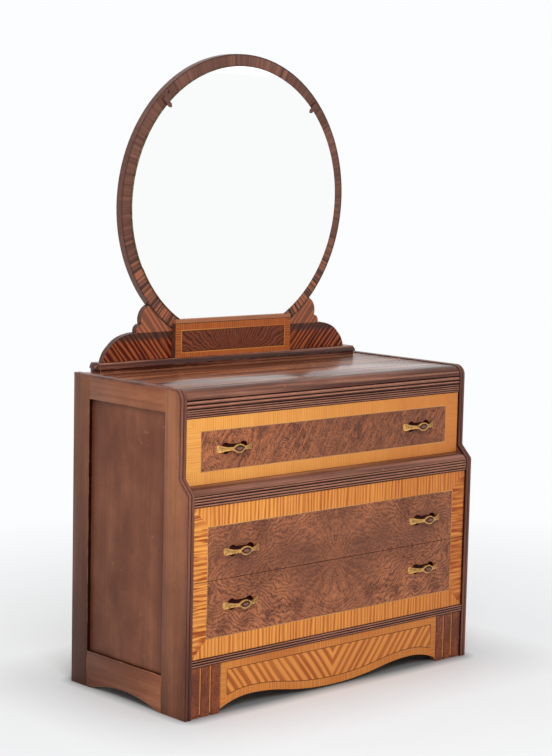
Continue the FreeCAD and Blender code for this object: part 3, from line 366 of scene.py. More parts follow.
def crossbanded(name, half, low, high, light, dark, spacing, strength, lines=0.0, shade_to_right=0.25):
    """A border whose grain runs square to the nearest edge, mitred at the corners, with painted shade that
    darkens it towards the right.
    """
    f = Finish(name, 0.32, coat=0.05)
    from_end = f.math("MINIMUM", f.z - low, high - f.z)
    sideways = f.math("LESS_THAN", half - abs(f.x), from_end)
    way = f.add("Mix", {0: sideways, 4: f.vector(f.z, f.x, 3.1), 5: f.vector(f.x, f.z, 7.3)}, output=1,
                data_type="VECTOR")
    along, across, seed = f.axes(way)
    across = across + f.noise(f.scaled(way, (2.5, 26.0, 1.0))) * (2.6 * spacing)
    broken = f.grain(along, across, 5.0, 55.0, seed, detail=2)
    fine = f.grain(along, across, 7.0, 420.0, seed)
    slow = f.grain(along, across, 2.0, 9.0, seed, detail=2)
    bars = f.span(f.wave(across, 2 * pi / spacing), 0.2, 0.85)
    tone = f.blend(bars * f.span(broken, 0.35, 0.62, strength * 0.4, strength), light, dark)
    tone = f.veil(tone, dark, fine, 0.35, 0.6, 0.35, 0.0)
    tone = f.veil(tone, dark, slow, 0.45, 0.7, 0.0, 0.2)
    if lines:
        streak = f.span(f.grain(along, across, 12.0, 175.0, 5.5, detail=2), 0.51, 0.61, 0.0, lines)
        tone = f.blend(sideways * streak, tone, toned(dark, 0.75, 0.5, 0.45))
    # Painted shade: darker towards the right, away from the light.
    tone = f.veil(tone, toned(dark, 1.0, 0.8, 0.75), f.x, -0.35, 0.45, 0.0, shade_to_right)
    return f.done(tone, fine, 0.00006)


def burr(name, light, mid, dark, burst=None, streaks=0.5, lines=1.0, flecks=0.85, shade_to_right=0.0):
    """Book-matched burr veneer with painted shade towards the right; burst is the height where its figure
    bursts from the joint.
    """
    f = Finish(name, 0.32, coat=0.05)
    across = abs(f.x - BOOK_JOINT)
    way = f.vector(across, 0.0, f.z)
    curls = f.wave(f.noise(way, 17.0, detail=4, rough=0.55, warp=0.9), 105.0)
    fleck = f.noise(way, 110.0, detail=4, rough=0.7, warp=1.8)
    grit = f.noise(way, 520.0, detail=2)
    cloud = f.noise(way, 7.0, detail=5, rough=0.65)
    if burst is not None:
        curls = bursting(f, way, across, f.z - burst, curls)
    patch = f.span(f.noise(way, 14.0, detail=2), 0.38, 0.62, 0.10 * lines, 0.36 * lines)
    tone = curls * patch + fleck * flecks
    relief = tone + (grit * 0.25 + cloud * 0.3)
    centre = 0.275 + 0.5 * flecks + 0.115 * lines
    tone = f.ramp(relief * 0.6, ((centre - 0.165) * 0.6, dark), (centre * 0.6, mid),
                  ((centre + 0.185) * 0.6, light))
    steep, level = f.turned(f.z, f.x, 55)
    flash = f.noise(f.vector(level * 22.0, 0.0, steep * 120.0), detail=4, rough=0.65, warp=0.9)
    tone = f.veil(tone, toned(light, 1.1, 1.0, 0.9), flash, 0.50, 0.60, 0.0, streaks)
    tone = f.veil(tone, dark, flash, 0.46, 0.38, 0.0, streaks * 0.45)
    grey = toned(dark, 1.0, 1.15, 1.4)
    tone = f.veil(tone, grey, cloud, 0.46, 0.62, 0.0, 0.68)
    # Painted shade: greyer and darker towards the right, away from the light.
    tone = f.veil(tone, grey, f.x, -0.30, 0.05, 0.0, shade_to_right)
    return f.done(tone, relief, 0.00005)


def bursting(f, way, across, rise, curls):
    """Rays around a point, with lines that flow away from it, over a burr's curls."""
    steep, reach = abs(rise), f.reach(across, rise)
    drift = steep * 0.8 + across * 0.28
    bend = f.noise(f.vector(across, 4.0, steep), 13.0) * 0.10
    flow = f.wave(drift + bend, 2 * pi / 0.0100)
    curls = flow * 0.65 + curls * 0.35
    angle = f.math("ARCTAN2", rise, across + 0.004) + f.noise(way, 6.0) * 0.8
    rays = f.span(f.grain(angle, reach, 8.0, 4.0, 5.0, detail=4, rough=0.65), 0.36, 0.64)
    near = f.span(reach, 0.03, 0.20, 0.8, 0.0)
    return rays * near + curls * (1.0 - near)


def fan_figure(name, base, height):
    """Dark burr whose lines fan up from a height below a small panel."""
    f = Finish(name, 0.3, coat=0.05)
    rise = f.z - height
    angle = f.math("ARCTAN2", abs(f.x), rise) + f.noise(f.place, 22.0) * 0.22
    soft = f.grain(angle, f.reach(f.x, rise), 26.0, 9.0, detail=4, rough=0.65)
    fleck = f.noise(f.place, 130.0, rough=0.7, warp=1.0)
    relief = f.wave(angle, 88.0) * 0.22 + (soft * 0.6 + fleck * 0.4)
    tone = f.ramp(relief, (0.42, toned(base, 0.3)), (0.62, base), (0.82, toned(base, 1.7)))
    return f.done(tone, relief, 0.00005)


def wing_stripes(name, light, dark, spacing):
    """Slanting stripes, with a dark band across the large lobe and paler wood above it."""
    f = Finish(name, 0.32, coat=0.05)
    over, along = f.turned(f.z, abs(f.x), 50)
    over = over + f.grain(over, along, 40.0, 3.0) * (spacing * 2.4)
    broken = f.grain(over, along, 70.0, 4.0, 1.7, detail=2)
    fine = f.grain(over, along, 480.0, 8.0, 4.1)
    bars = f.wave(over, 2 * pi / spacing) * 0.5 + broken * 0.6
    tone = f.veil(dark, light, bars, 0.43, 0.71)
    tone = f.veil(tone, dark, fine, 0.3, 0.62, 0.5, 0.0)
    tone = f.veil(tone, dark, f.noise(f.place, 6.0, detail=2), 0.4, 0.7, 0.0, 0.35)
    tone = f.veil(tone, f.blend(0.3, tone, tint(196, 134, 104)), f.z, 0.889, 0.892)
    band = f.math("MINIMUM", f.span(f.z, 0.866, 0.878), f.span(f.z, 0.8905, 0.8925, 1.0, 0.0))
    return f.done(f.blend(band * 0.8, tone, tint(58, 40, 34)), fine, 0.00006)


def inlaid(name, light, dark, line, sizes):
    """Crossbanded border, dark stringing and a striped panel whose halves meet in a V."""
    f = Finish(name, 0.3, coat=0.1)
    side = abs(f.x - BOOK_JOINT)
    over, along = f.turned(f.z, side, 52)
    over = over + f.noise(f.place, 8.0, detail=1) * 0.008
    bend = f.grain(over, 0.0, 28.0, 1.0, 2.2, detail=2) * 0.03
    broken = f.grain(over, along, 90.0, 2.5, 1.7, detail=2)
    fine = f.grain(over, along, 520.0, 9.0, 4.1)
    slow = f.noise(f.place, 7.0, detail=2)
    bars = f.wave(over + bend, 2 * pi / 0.0205) * 0.5 + broken * 0.6
    panel = f.veil(toned(dark, 0.88), toned(light, 0.86, 0.78, 0.8), bars, 0.44, 0.70)
    panel = f.veil(panel, between(light, dark), slow, 0.35, 0.65, 0.1, 0.4)
    panel = f.veil(panel, dark, fine, 0.3, 0.62, 0.4, 0.0)
    upright = f.math("LESS_THAN", side, APRON_HALF - sizes.apron_border)
    cross = f.add("Mix", {0: upright, 2: f.z, 3: f.x}, data_type="FLOAT")
    threads = f.grain(cross, 0.0, 300.0, 1.0, upright * 5.0, rough=0.6)
    border = f.veil(light, dark, threads, 0.38, 0.62, 0.85, 0.25)
    border = f.veil(border, dark, slow, 0.4, 0.7, 0.1, 0.5)
    edge = f.add("Attribute", {}, output=2, attribute_name="from_edge")
    tone = f.blend(f.math("GREATER_THAN", edge, sizes.apron_border), border, line)
    tone = f.blend(f.math("GREATER_THAN", edge, sizes.apron_border + sizes.apron_line), tone, panel)
    return f.done(tone, fine, 0.00006)


def rim_veneer(name, height, light, dark):
    """Crossbanding laid round a disc in short pieces, its grain pointing to the middle."""
    f = Finish(name, 0.3, coat=0.1)
    rise, black = f.z - height, toned(dark, 0.4)
    angle, reach = f.math("ARCTAN2", rise, f.x), f.reach(f.x, rise)
    number = f.math("FLOOR", angle * (22 / (2 * pi)))
    chance = f.add("TexWhiteNoise", {"W": number}, noise_dimensions="1D")
    over = angle * 0.372 + f.noise(f.place, 12.0, detail=1) * 0.004
    broad = f.grain(over, reach, 120.0, 2.0, number, rough=0.55)
    fine = f.grain(over, reach, 620.0, 14.0, number)
    tone = f.veil(dark, light, broad, 0.32, 0.66)
    tone = f.veil(tone, dark, fine, 0.35, 0.6, 0.4, 0.0)
    tone = f.veil(tone, dark, chance, 0.2, 1.0, 0.0, 0.6)
    low = f.span(rise, -0.08, -0.22, 0.0, 0.85)
    tone = f.blend(low * f.span(broad, 0.50, 0.58), tone, toned(light, 1.6, 1.2, 0.8))
    tone = f.blend(low * f.span(broad, 0.42, 0.48, 0.9, 0.0), tone, black)
    tone = f.veil(tone, black, reach, 0.3825, 0.3855, 0.0, 0.7)
    # Painted shade for an old screw hole that is not modelled: a dark spot that fades out around it.
    screw_hole_shade = f.reach(f.x + 0.250, f.z - 1.507)
    tone = f.veil(tone, tint(46, 14, 8), screw_hole_shade, 0.002, 0.007, 0.9, 0.0)
    return f.done(tone, fine, 0.00008)


def silvered(name, base):
    """Mirror glass with a few specks in its silvering."""
    f = Finish(name, 0.015, metallic=1.0)
    tone = f.veil(base, tint(150, 150, 146), f.noise(f.place, 55.0, rough=0.7), 0.79, 0.81, 0.0, 0.5)
    return f.done(tone, rough=f.span(f.noise(f.place, 2.2, detail=2), 0.35, 0.7, 0.01, 0.03))


def grooved(name, base, line, face_y):
    """Dark chamfers with a painted highlight: a thin pale line in the bottom of the groove."""
    f = Finish(name, 0.35)
    cloud = f.noise(f.place, 60.0)
    tone = f.ramp(cloud, (0.35, toned(base, 0.8)), (0.7, toned(base, 1.8)))
    return f.done(f.veil(tone, line, f.y, face_y + 0.0017, face_y + 0.0021, 0.0, 0.8), cloud, 0.00005)


def clouded(name, roughness, scale, stops, depth, grit=None, gloss=None, metallic=0.0, coat=0.0, **settings):
    """A finish whose colour follows soft noise, with its own grit and gloss if they are given."""
    f = Finish(name, roughness, metallic, coat)
    cloud = f.noise(f.place, scale, **settings)
    relief = f.noise(f.place, grit, detail=2) if grit else cloud
    return f.done(f.ramp(cloud, *stops), relief, depth, f.span(cloud, 0.3, 0.7, *gloss) if gloss else None)


def brass(name, light, dark):
    """Cast brass, rubbed bright on its edges."""
    return clouded(name, 0.42, 160.0, ((0.30, dark), (0.50, light)), 0.00004, grit=900.0, gloss=(0.36, 0.55),
                   metallic=0.55, detail=4, rough=0.6)


def drawn_steel(name, base):
    """Plain drawn steel."""
    return clouded(name, 0.38, 300.0, ((0.3, toned(base, 0.6)), (0.65, base)), 0.00005, metallic=1.0)


def rubbed_edge(name, light, dark):
    """Polish worn off along an edge, here and there."""
    return clouded(name, 0.35, 26.0, ((0.46, dark), (0.60, light)), 0.00006, grit=400.0, coat=0.05, detail=5,
                   rough=0.65)


def stained(name, base):
    """Dark stain or old polish."""
    return clouded(name, 0.5, 120.0, ((0.35, toned(base, 0.5)), (0.7, base)), 0.0001)


# Shaping


def added(name, data):
    """A new object in the scene."""
    thing = bpy.data.objects.new(name, data)
    bpy.context.scene.collection.objects.link(thing)
    return thing


def placed(place, *axes):
    """The matrix that puts something at a place, along these axes."""
    return Matrix.Translation(place) @ Matrix(axes).transposed().to_4x4()


def pick(piece):
    """Make a piece the only selected and the active one."""
    bpy.ops.object.select_all(action="DESELECT")
    piece.select_set(True)
    bpy.context.view_layer.objects.active = piece
    return piece


def edit(piece):
    """Enter edit mode with all faces selected."""
    pick(piece)
    bpy.ops.object.mode_set(mode="EDIT")
    bpy.ops.mesh.select_mode(type="FACE")
    bpy.ops.mesh.select_all(action="SELECT")


def leave():
    """Back to object mode."""
    bpy.ops.object.mode_set(mode="OBJECT")


def select_faces(piece, rule):
    """In edit mode, select only the faces whose middle and normal fit the rule."""
    bpy.ops.mesh.select_all(action="DESELECT")
    leave()
    for face in piece.data.polygons:
        face.select = bool(rule(face.center, face.normal))
    bpy.ops.object.mode_set(mode="EDIT")
    bpy.ops.mesh.select_mode(type="FACE")


def cut(axis, place):
    """In edit mode, cut the whole mesh along a plane square to an axis."""
    point, normal = Vector(), Vector()
    point[axis], normal[axis] = place, 1.0
    bpy.ops.mesh.select_all(action="SELECT")
    bpy.ops.mesh.bisect(plane_co=point, plane_no=normal)


def modified(piece, kind, **settings):
    """Add a modifier and apply it."""
    pick(piece)
    modifier = piece.modifiers.new(kind.title(), kind)
    for name, value in settings.items():
        setattr(modifier, name, value)
    bpy.ops.object.modifier_apply(modifier=modifier.name)


def taken(node, name, cuts=()):
    """A joined-up copy of a solid's mesh that stands in for it, cut along planes."""
    source = NODES[node]
    mesh = source.data.copy()
    mesh.name = name
    mesh.materials.clear()
    piece = added(name, mesh)
    edit(piece)
    bpy.ops.mesh.remove_doubles(threshold=0.00001)
    bpy.ops.mesh.dissolve_limited(angle_limit=radians(0.4))
    for axis, place in cuts:
        cut(axis, place)
    leave()
    pick(piece)
    bpy.ops.mesh.customdata_custom_splitnormals_clear()
    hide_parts(node)
    return settle(piece, source["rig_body"])


def settle(piece, body):
    """Let a piece ride its body."""
    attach(piece, body)
    return piece


def soften(piece, width, angle=38.0, worn=-1):
    """Round the sharp edges a little and smooth the rest; worn numbers the finish of rubbed edges."""
    if width > 0:
        modified(piece, "BEVEL", width=width, segments=2, limit_method="ANGLE", angle_limit=radians(angle),
                 use_clamp_overlap=True, miter_outer="MITER_ARC", material=worn)
    pick(piece)
    bpy.ops.object.shade_smooth_by_angle(angle=radians(32))
    return piece


def paint(piece, finishes, rule=None):
    """Give a piece its finishes; the rule names one for each face."""
    names = list(finishes)
    for name in names:
        piece.data.materials.append(finishes[name])
    if rule:
        for face in piece.data.polygons:
            face.material_index = names.index(rule(face.center, face.normal))
    return piece


def dressed(node, name, finishes, rule=None, cuts=(), width=0, worn=-1):
    """A solid taken over, cut, in its finishes and softened."""
    return soften(paint(taken(node, name, cuts), finishes, rule), width, worn=worn)


def plain(node, name, finish, width, rubbed=None):
    """A board taken over as it is, in one finish, its edges rubbed if that is given."""
    finishes = {"all": finish, "rubbed": rubbed} if rubbed else {"all": finish}
    return dressed(node, name, finishes, width=width, worn=1 if rubbed else -1)


def outside(centre, half, low, high):
    """How far a point of a front lies outside a panel; negative inside it."""
    return max(abs(centre.x) - half, low - centre.z, centre.z - high)


def ring_cuts(half, low, high, steps):
    """The planes of rings around a panel, at these steps from it."""
    return [(0, side * (half + step)) for side in (-1, 1) for step in steps] + \
           [(2, place) for step in steps for place in (low - step, high + step)]


class ChestOperator(bpy.types.Operator):
    """What the operators share."""

    bl_options = {"REGISTER", "UNDO"}

    @property
    def sizes(self):
        return bpy.context.scene.chest_sizes

    def tones(self, *names):
        """Colour settings as plain tuples."""
        return [tuple(getattr(bpy.context.scene.chest_colours, name)) for name in names]

    def tone(self, name):
        """A colour setting as a plain tuple."""
        return self.tones(name)[0]

    def raw_wood(self, name="raw_wood", along="X"):
        """Unpolished wood of the inner boards."""
        light, dark = self.tones("raw_light", "raw_dark")
        return solid_wood(name, along, light, between(dark, light), dark, roughness=0.6, coat=0.0, wear=0.1)


# Stage

CAMERA_PLACE = Vector((-3.3464, -3.6194, 1.3587))
CAMERA_TURN = radians(-42.6175)
CAMERA_FALL = radians(6.7524)
CAMERA_ROLL = radians(1.2646)
CAMERA_LENS = 90.449


class CHEST_OT_stage(bpy.types.Operator):
    """Set up the floor, the background, the lamps and the camera"""

    bl_idname = "chest.stage"
    bl_label = "Stage"

    def execute(self, context):
        stage = context.scene.chest_stage
        self.floor(stage)
        self.world(context.scene, stage)
        self.lamp("key_lamp", stage.key_power, 1.2, (-1.6, -2.2, 2.1), (-0.1, -0.1, 0.6))
        self.lamp("fill_lamp", stage.fill_power, 2.5, (3.0, -4.2, 2.6), (0.0, 0.0, 0.6))
        self.camera(context.scene)
        context.scene.view_settings.view_transform = "Standard"
        return {"FINISHED"}

    def floor(self, stage):
        """A large floor with painted shadow under the chest, which fades into the background around it."""
        bpy.ops.object.select_all(action="DESELECT")
        bpy.ops.mesh.primitive_plane_add(size=60)
        floor = bpy.context.object
        floor.name = "floor"
        f = Finish("pale_floor", 0.7)
        base, chest_half = tuple(stage.floor), (0.48, 0.22, 0.0)
        even = f.ramp(f.noise(f.place, 3.0, detail=4), (0.3, toned(base, 0.97)), (0.7, base))
        outward = f.place
        for operation, other in (("ABSOLUTE", (0, 0, 0)), ("SUBTRACT", chest_half), ("MAXIMUM", (0, 0, 0))):
            outward = f.add("VectorMath", {0: outward, 1: other}, operation=operation)
        reach = f.add("VectorMath", {0: outward}, output=1, operation="LENGTH")
        # Painted shadow: the floor's colour drops to a third under the chest.
        f.done(f.veil(toned(base, 0.3), even, reach, 0.0, 0.05))
        share = f.span(reach, 0.0, 0.30, 0.0, 0.62) + f.span(reach, 0.45, 1.8, 0.0, 0.38)
        glow = f.add("Emission", {"Color": tuple(stage.background), "Strength": 1.0})
        mixed = f.add("MixShader", {0: share * f.seen(), 1: Term(f, f.shader.outputs[0]), 2: glow})
        f.feed(f.tree.nodes["Material Output"].inputs["Surface"], mixed)
        paint(floor, {"all": f.material})

    def world(self, scene, stage):
        """A background for what is seen, and an even light on things."""
        scene.world = scene.world or bpy.data.worlds.new("studio")
        scene.world.use_nodes = True
        n = Nodes(scene.world.node_tree)
        n.tree.nodes.clear()
        light = n.add("Background", {"Color": (1.0, 1.0, 1.0), "Strength": stage.ambient})
        background = n.add("Background", {"Color": tuple(stage.background), "Strength": 1.0})
        mixed = n.add("MixShader", {0: n.seen(), 1: light, 2: background})
        n.feed(n.tree.nodes.new("ShaderNodeOutputWorld").inputs["Surface"], mixed)

    def lamp(self, name, energy, size, place, aim):
        """A square lamp that shines on a point."""
        data = bpy.data.lights.new(name, "AREA")
        data.energy, data.size = energy, size
        lamp = added(name, data)
        lamp.location = place
        lamp.rotation_euler = (Vector(aim) - Vector(place)).to_track_quat("-Z", "Y").to_euler()

    def camera(self, scene):
        """A camera in front of the chest and to its left, rolled a little."""
        data = bpy.data.cameras.new("camera")
        data.lens, data.sensor_width, data.clip_end = CAMERA_LENS, 36.0, 200.0
        scene.camera = added("camera", data)
        level = Vector((cos(CAMERA_TURN), sin(CAMERA_TURN), 0.0))
        flat = Vector((-sin(CAMERA_TURN), cos(CAMERA_TURN), 0.0))
        ahead = flat * cos(CAMERA_FALL) - Vector((0.0, 0.0, sin(CAMERA_FALL)))
        above = level.cross(ahead)
        right = cos(CAMERA_ROLL) * level + sin(CAMERA_ROLL) * above
        up = cos(CAMERA_ROLL) * above - sin(CAMERA_ROLL) * level
        scene.camera.matrix_world = placed(CAMERA_PLACE, right, up, -ahead)


# Case

BEAD_DROP = 0.006  # height of the bead's plain upper end
REED_DEPTH = 0.008  # from a moulding's face to the back of its reeds


class CHEST_OT_sides(ChestOperator):
    """Finish the framed and panelled sides with their reeded beads"""

    bl_idname = "chest.sides"
    bl_label = "Sides"

    def execute(self, context):
        tones = self.tones("side_light", "side_mid", "side_dark")
        deep, pale = ([toned(tone, share) for tone in tones] for share in (0.84, 1.2))
        stain = {"cloud": 0.5, "fine_share": 0.25, "coat": 0.06, "darker_low_and_back": True}
        upright = solid_wood("side_upright", "Z", *deep, **stain)
        level = solid_wood("side_level", "Y", *pale, **stain)
        stain.update(figure=9.0, cloud=0.8, spread=0.2, fine_share=0.15)
        panel = solid_wood("side_panel", "Z", *pale, **stain)
        # Painted shade on the frames' edges that face the sunk panels.
        shadow = stained("frame_edge", self.tone("groove"))
        rubbed = rubbed_edge("rubbed_side", tones[0], tones[2])
        light, dark = self.tones("moulding_light", "moulding_dark")
        reds = [toned(tone, 0.82, 0.68, 0.60) for tone in (light, between(dark, light), dark)]
        bead = {"wood": solid_wood("bead", "Z", *reds, roughness=0.24, coat=0.3),
                "groove": stained("bead_groove", toned(dark, 0.55, 0.38, 0.34))}
        for side in SIDES:
            middle = sum(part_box(side + "_side_panel"), Vector()) / 2
            for part, finish, axis in (("rear_stile", upright, 1), ("front_stile", upright, 1),
                                       ("top_rail", level, 2), ("bottom_rail", level, 2)):
                def shaded_inner_edge(centre, normal):
                    inward = (middle[axis] - centre[axis]) * normal[axis] > 0
                    return "edge" if abs(normal[axis]) > 0.9 and inward else "face"

                node = "%s_%s" % (side, part)
                finishes = {"face": finish, "edge": shadow, "rubbed": rubbed}
                dressed(node, node + "_board", finishes, shaded_inner_edge,
                        width=self.sizes.softening, worn=2)
            plain(side + "_side_panel", side + "_panel_board", panel, 0)
            level_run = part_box(side + "_edge_bead")[1].z - BEAD_DROP

            # Painted shade in the valley between the reeds and on the bead's inward side.
            def shade_between_reeds(centre, normal):
                outer = abs(normal.x) > 0.9 and centre.x * normal.x > 0
                in_shade = abs(normal.x) > 0.4 and not outer and centre.z < level_run
                return "groove" if in_shade else "wood"

            dressed(side + "_edge_bead", side + "_reeded_bead", bead, shade_between_reeds)
        return {"FINISHED"}


class CHEST_OT_mouldings(ChestOperator):
    """Finish the top and the reeded mouldings"""

    bl_idname = "chest.mouldings"
    bl_label = "Top and mouldings"

    def execute(self, context):
        tones = self.tones("top_light", "top_mid", "top_dark")
        board = solid_wood("top", "X", *tones, roughness=0.28, figure=26.0, cloud=0.35, coat=0.4, spread=0.10)
        rubbed = rubbed_edge("rubbed_top", tones[0], tones[2])
        plain("top_board", "top_panel", board, self.sizes.softening, rubbed)
        light, dark = self.tones("moulding_light", "moulding_dark")
        wood = solid_wood("moulding", "X", light, between(dark, light), dark, roughness=0.28, figure=60.0,
                          cloud=0.5, coat=0.15, spread=0.09, wear=0.8)
        # The reeds get painted shade in their grooves and a painted highlight on their crests.
        finishes = {"wood": wood, "groove": stained("groove", self.tone("groove")),
                    "crest": rubbed_edge("reed_crest", toned(light, 1.3), light)}
        for node, nosing in (("top_moulding", 0.0255), ("step_moulding", 0.0185), ("base_moulding", 0.0)):
            front, reeds_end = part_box(node)[0].y + REED_DEPTH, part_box(node)[1].z - nosing

            def reeded(centre, normal):
                if centre.y > front or centre.z > reeds_end:
                    return "wood"
                # Painted shade on the steep faces between the reeds, painted highlight on the faces that tilt
                # up.
                return "groove" if abs(normal.z) > 0.66 else "crest" if 0.05 < normal.z < 0.45 else "wood"

            dressed(node, node + "_reeds", finishes, reeded)
        return {"FINISHED"}


class CHEST_OT_apron(ChestOperator):
    """Inlay the apron and finish the foot blocks"""

    bl_idname = "chest.apron"
    bl_label = "Apron and feet"

    def execute(self, context):
        light, dark, line = self.tones("stripe_light", "stripe_dark", "string_dark")
        piece = taken("apron", "inlaid_apron")
        faces = [face for face in piece.data.polygons if face.normal.y < -0.9]
        front = max(faces, key=lambda face: face.area)
        outline = [Vector((spot.x, spot.z)) for spot in (piece.data.vertices[i].co for i in front.vertices)]
        self.grid(piece, *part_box("apron"), self.sizes.apron_grid)
        self.measure(piece, outline)
        finishes = {"inlay": inlaid("apron_inlay", light, dark, line, self.sizes), "wood": self.raw_wood()}
        soften(paint(piece, finishes, lambda centre, normal: "inlay" if normal.y < -0.9 else "wood"), 0)
        tones = self.tones("burr_light", "burr_mid", "burr_dark")
        blocks = [toned(tone, 0.8, 0.62, 0.55) for tone in tones]
        finishes = {"burr": burr("foot_burr", *blocks, streaks=0.2, lines=0.3),
                    "groove": grooved("foot_groove", tones[2], light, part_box("left_foot_blocks")[0].y)}
        for side in SIDES:
            piece = taken(side + "_foot_blocks", side + "_foot")
            edit(piece)
            bpy.ops.mesh.select_all(action="DESELECT")
            bpy.ops.mesh.select_interior_faces()
            bpy.ops.mesh.delete(type="FACE")
            leave()
            paint(piece, finishes, lambda centre, normal:
                  "groove" if abs(normal.x) > 0.5 and normal.y < -0.5 else "burr")
            soften(piece, 0)
        return {"FINISHED"}

    def grid(self, piece, low, high, step):
        """Cut a board's face into a fine grid."""
        edit(piece)
        for axis in (0, 2):
            for number in range(1, int((high[axis] - low[axis]) / step)):
                cut(axis, low[axis] + number * step)
        leave()

    def measure(self, piece, outline):
        """Store how far each point lies from the outline, for the inlaid lines."""
        layer = piece.data.attributes.new("from_edge", "FLOAT", "POINT")
        for vertex, entry in zip(piece.data.vertices, layer.data):
            place = Vector((vertex.co.x, vertex.co.z))
            entry.value = 1.0
            for start, end in zip(outline, outline[1:] + outline[:1]):
                way = end - start
                share = min(1.0, max(0.0, (place - start).dot(way) / max(way.length_squared, 1e-12)))
                entry.value = min(entry.value, (place - start - share * way).length)


# Drawers

FACE_SKIN = 0.0002  # how far behind a front's face its veneer still counts as face
END_SKIN = 0.001  # the same for its ends and long edges
RECESS_DEPTH = 0.0105  # of the recesses behind the handles
RECESS_START, RECESS_END = 0.26, 0.39  # from the chest's middle


class CHEST_OT_drawer_fronts(ChestOperator):
    """Lay the burr panels, borders and stringing into the drawer fronts"""

    bl_idname = "chest.drawer_fronts"
    bl_label = "Drawer fronts"

    def execute(self, context):
        s = self.sizes
        top, middle, bottom = (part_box(tag + "_drawer_front") for tag in DRAWERS)
        pale, dark = self.tones("string_pale", "string_dark")
        shared = {"line": solid_wood("pale_line", "X", pale, pale, dark),
                  "recess": stained("recess", self.tone("recess")), "wood": self.raw_wood(),
                  "edge": stained("front_edge", self.tone("groove"))}
        burrs = self.tones("burr_light", "burr_mid", "burr_dark")
        upper = {"band": crossbanded("satinwood_border", top[1].x, top[0].z, top[1].z,
                                     *self.tones("satin_light", "satin_dark"), 0.0058, 0.42, shade_to_right=0.55),
                 "panel": burr("burr_upper", *burrs, streaks=0.65, lines=0.95, flecks=0.5, shade_to_right=0.35)}
        lower = {"band": crossbanded("striped_border", top[1].x, bottom[0].z, middle[1].z,
                                     *self.tones("stripe_light", "stripe_dark"), 0.0118, 0.85, lines=0.9,
                                     shade_to_right=0.4),
                 "panel": burr("burr_lower", *burrs, burst=(bottom[1].z + middle[0].z) / 2, streaks=0.15,
                               lines=1.0, flecks=0.6)}
        self.front("top", s.top_panel, {**upper, **shared})
        for tag in ("middle", "bottom"):
            self.front(tag, s.low_panel, {**lower, **shared})
        return {"FINISHED"}

    def front(self, tag, panel, finishes):
        """A front with a burr panel between a border and a pale line."""
        node, stringing = tag + "_drawer_front", self.sizes.stringing
        low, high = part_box(node)
        cuts = [(axis, place) for axis, place in ring_cuts(*panel, (0, stringing))
                if axis == 0 or low.z < place < high.z]

        def inlay(centre, normal):
            depth = centre.y - low.y
            if depth > FACE_SKIN:
                # Painted shade on the front's ends and long edges, which lie in the gaps.
                if outside(centre, high.x, low.z, high.z) > -END_SKIN and normal.y > -0.5:
                    return "edge"
                # Faces inside the recesses behind the handles get painted shade.
                in_shade = depth < RECESS_DEPTH and RECESS_START < abs(centre.x) < RECESS_END
                return "recess" if in_shade else "wood"
            ring = outside(centre, *panel)
            return "panel" if ring < 0 else "line" if ring < stringing else "band"

        dressed(node, tag + "_front_veneered", finishes, inlay, cuts)


class CHEST_OT_drawer_boxes(ChestOperator):
    """Finish the insides of the drawers"""

    bl_idname = "chest.drawer_boxes"
    bl_label = "Drawer boxes"

    def execute(self, context):
        side, across = self.raw_wood("drawer_side_wood", "Y"), self.raw_wood()
        steel = drawn_steel("nut_steel", self.tone("steel"))
        width = self.sizes.inner_softening
        for tag in DRAWERS:
            drawer = tag + "_drawer_"
            plain(drawer + "left_side", drawer + "left_board", side, width)
            plain(drawer + "right_side", drawer + "right_board", side, width)
            plain(drawer + "back", drawer + "back_board", across, width)
            plain(drawer + "bottom", drawer + "bottom_board", across, 0)
            plain(drawer + "nuts", drawer + "hex_nuts", steel, width / 2)
        return {"FINISHED"}


HANDLE_PLACE = 0.325  # from the chest's middle to a handle's
HANDLE_EYE, HANDLE_LEG = 0.0225, 0.0545  # from a handle's middle to where a leg begins and ends
LEG_RAISE = 0.0015  # how far before the drawer's front a leg's face lies at least


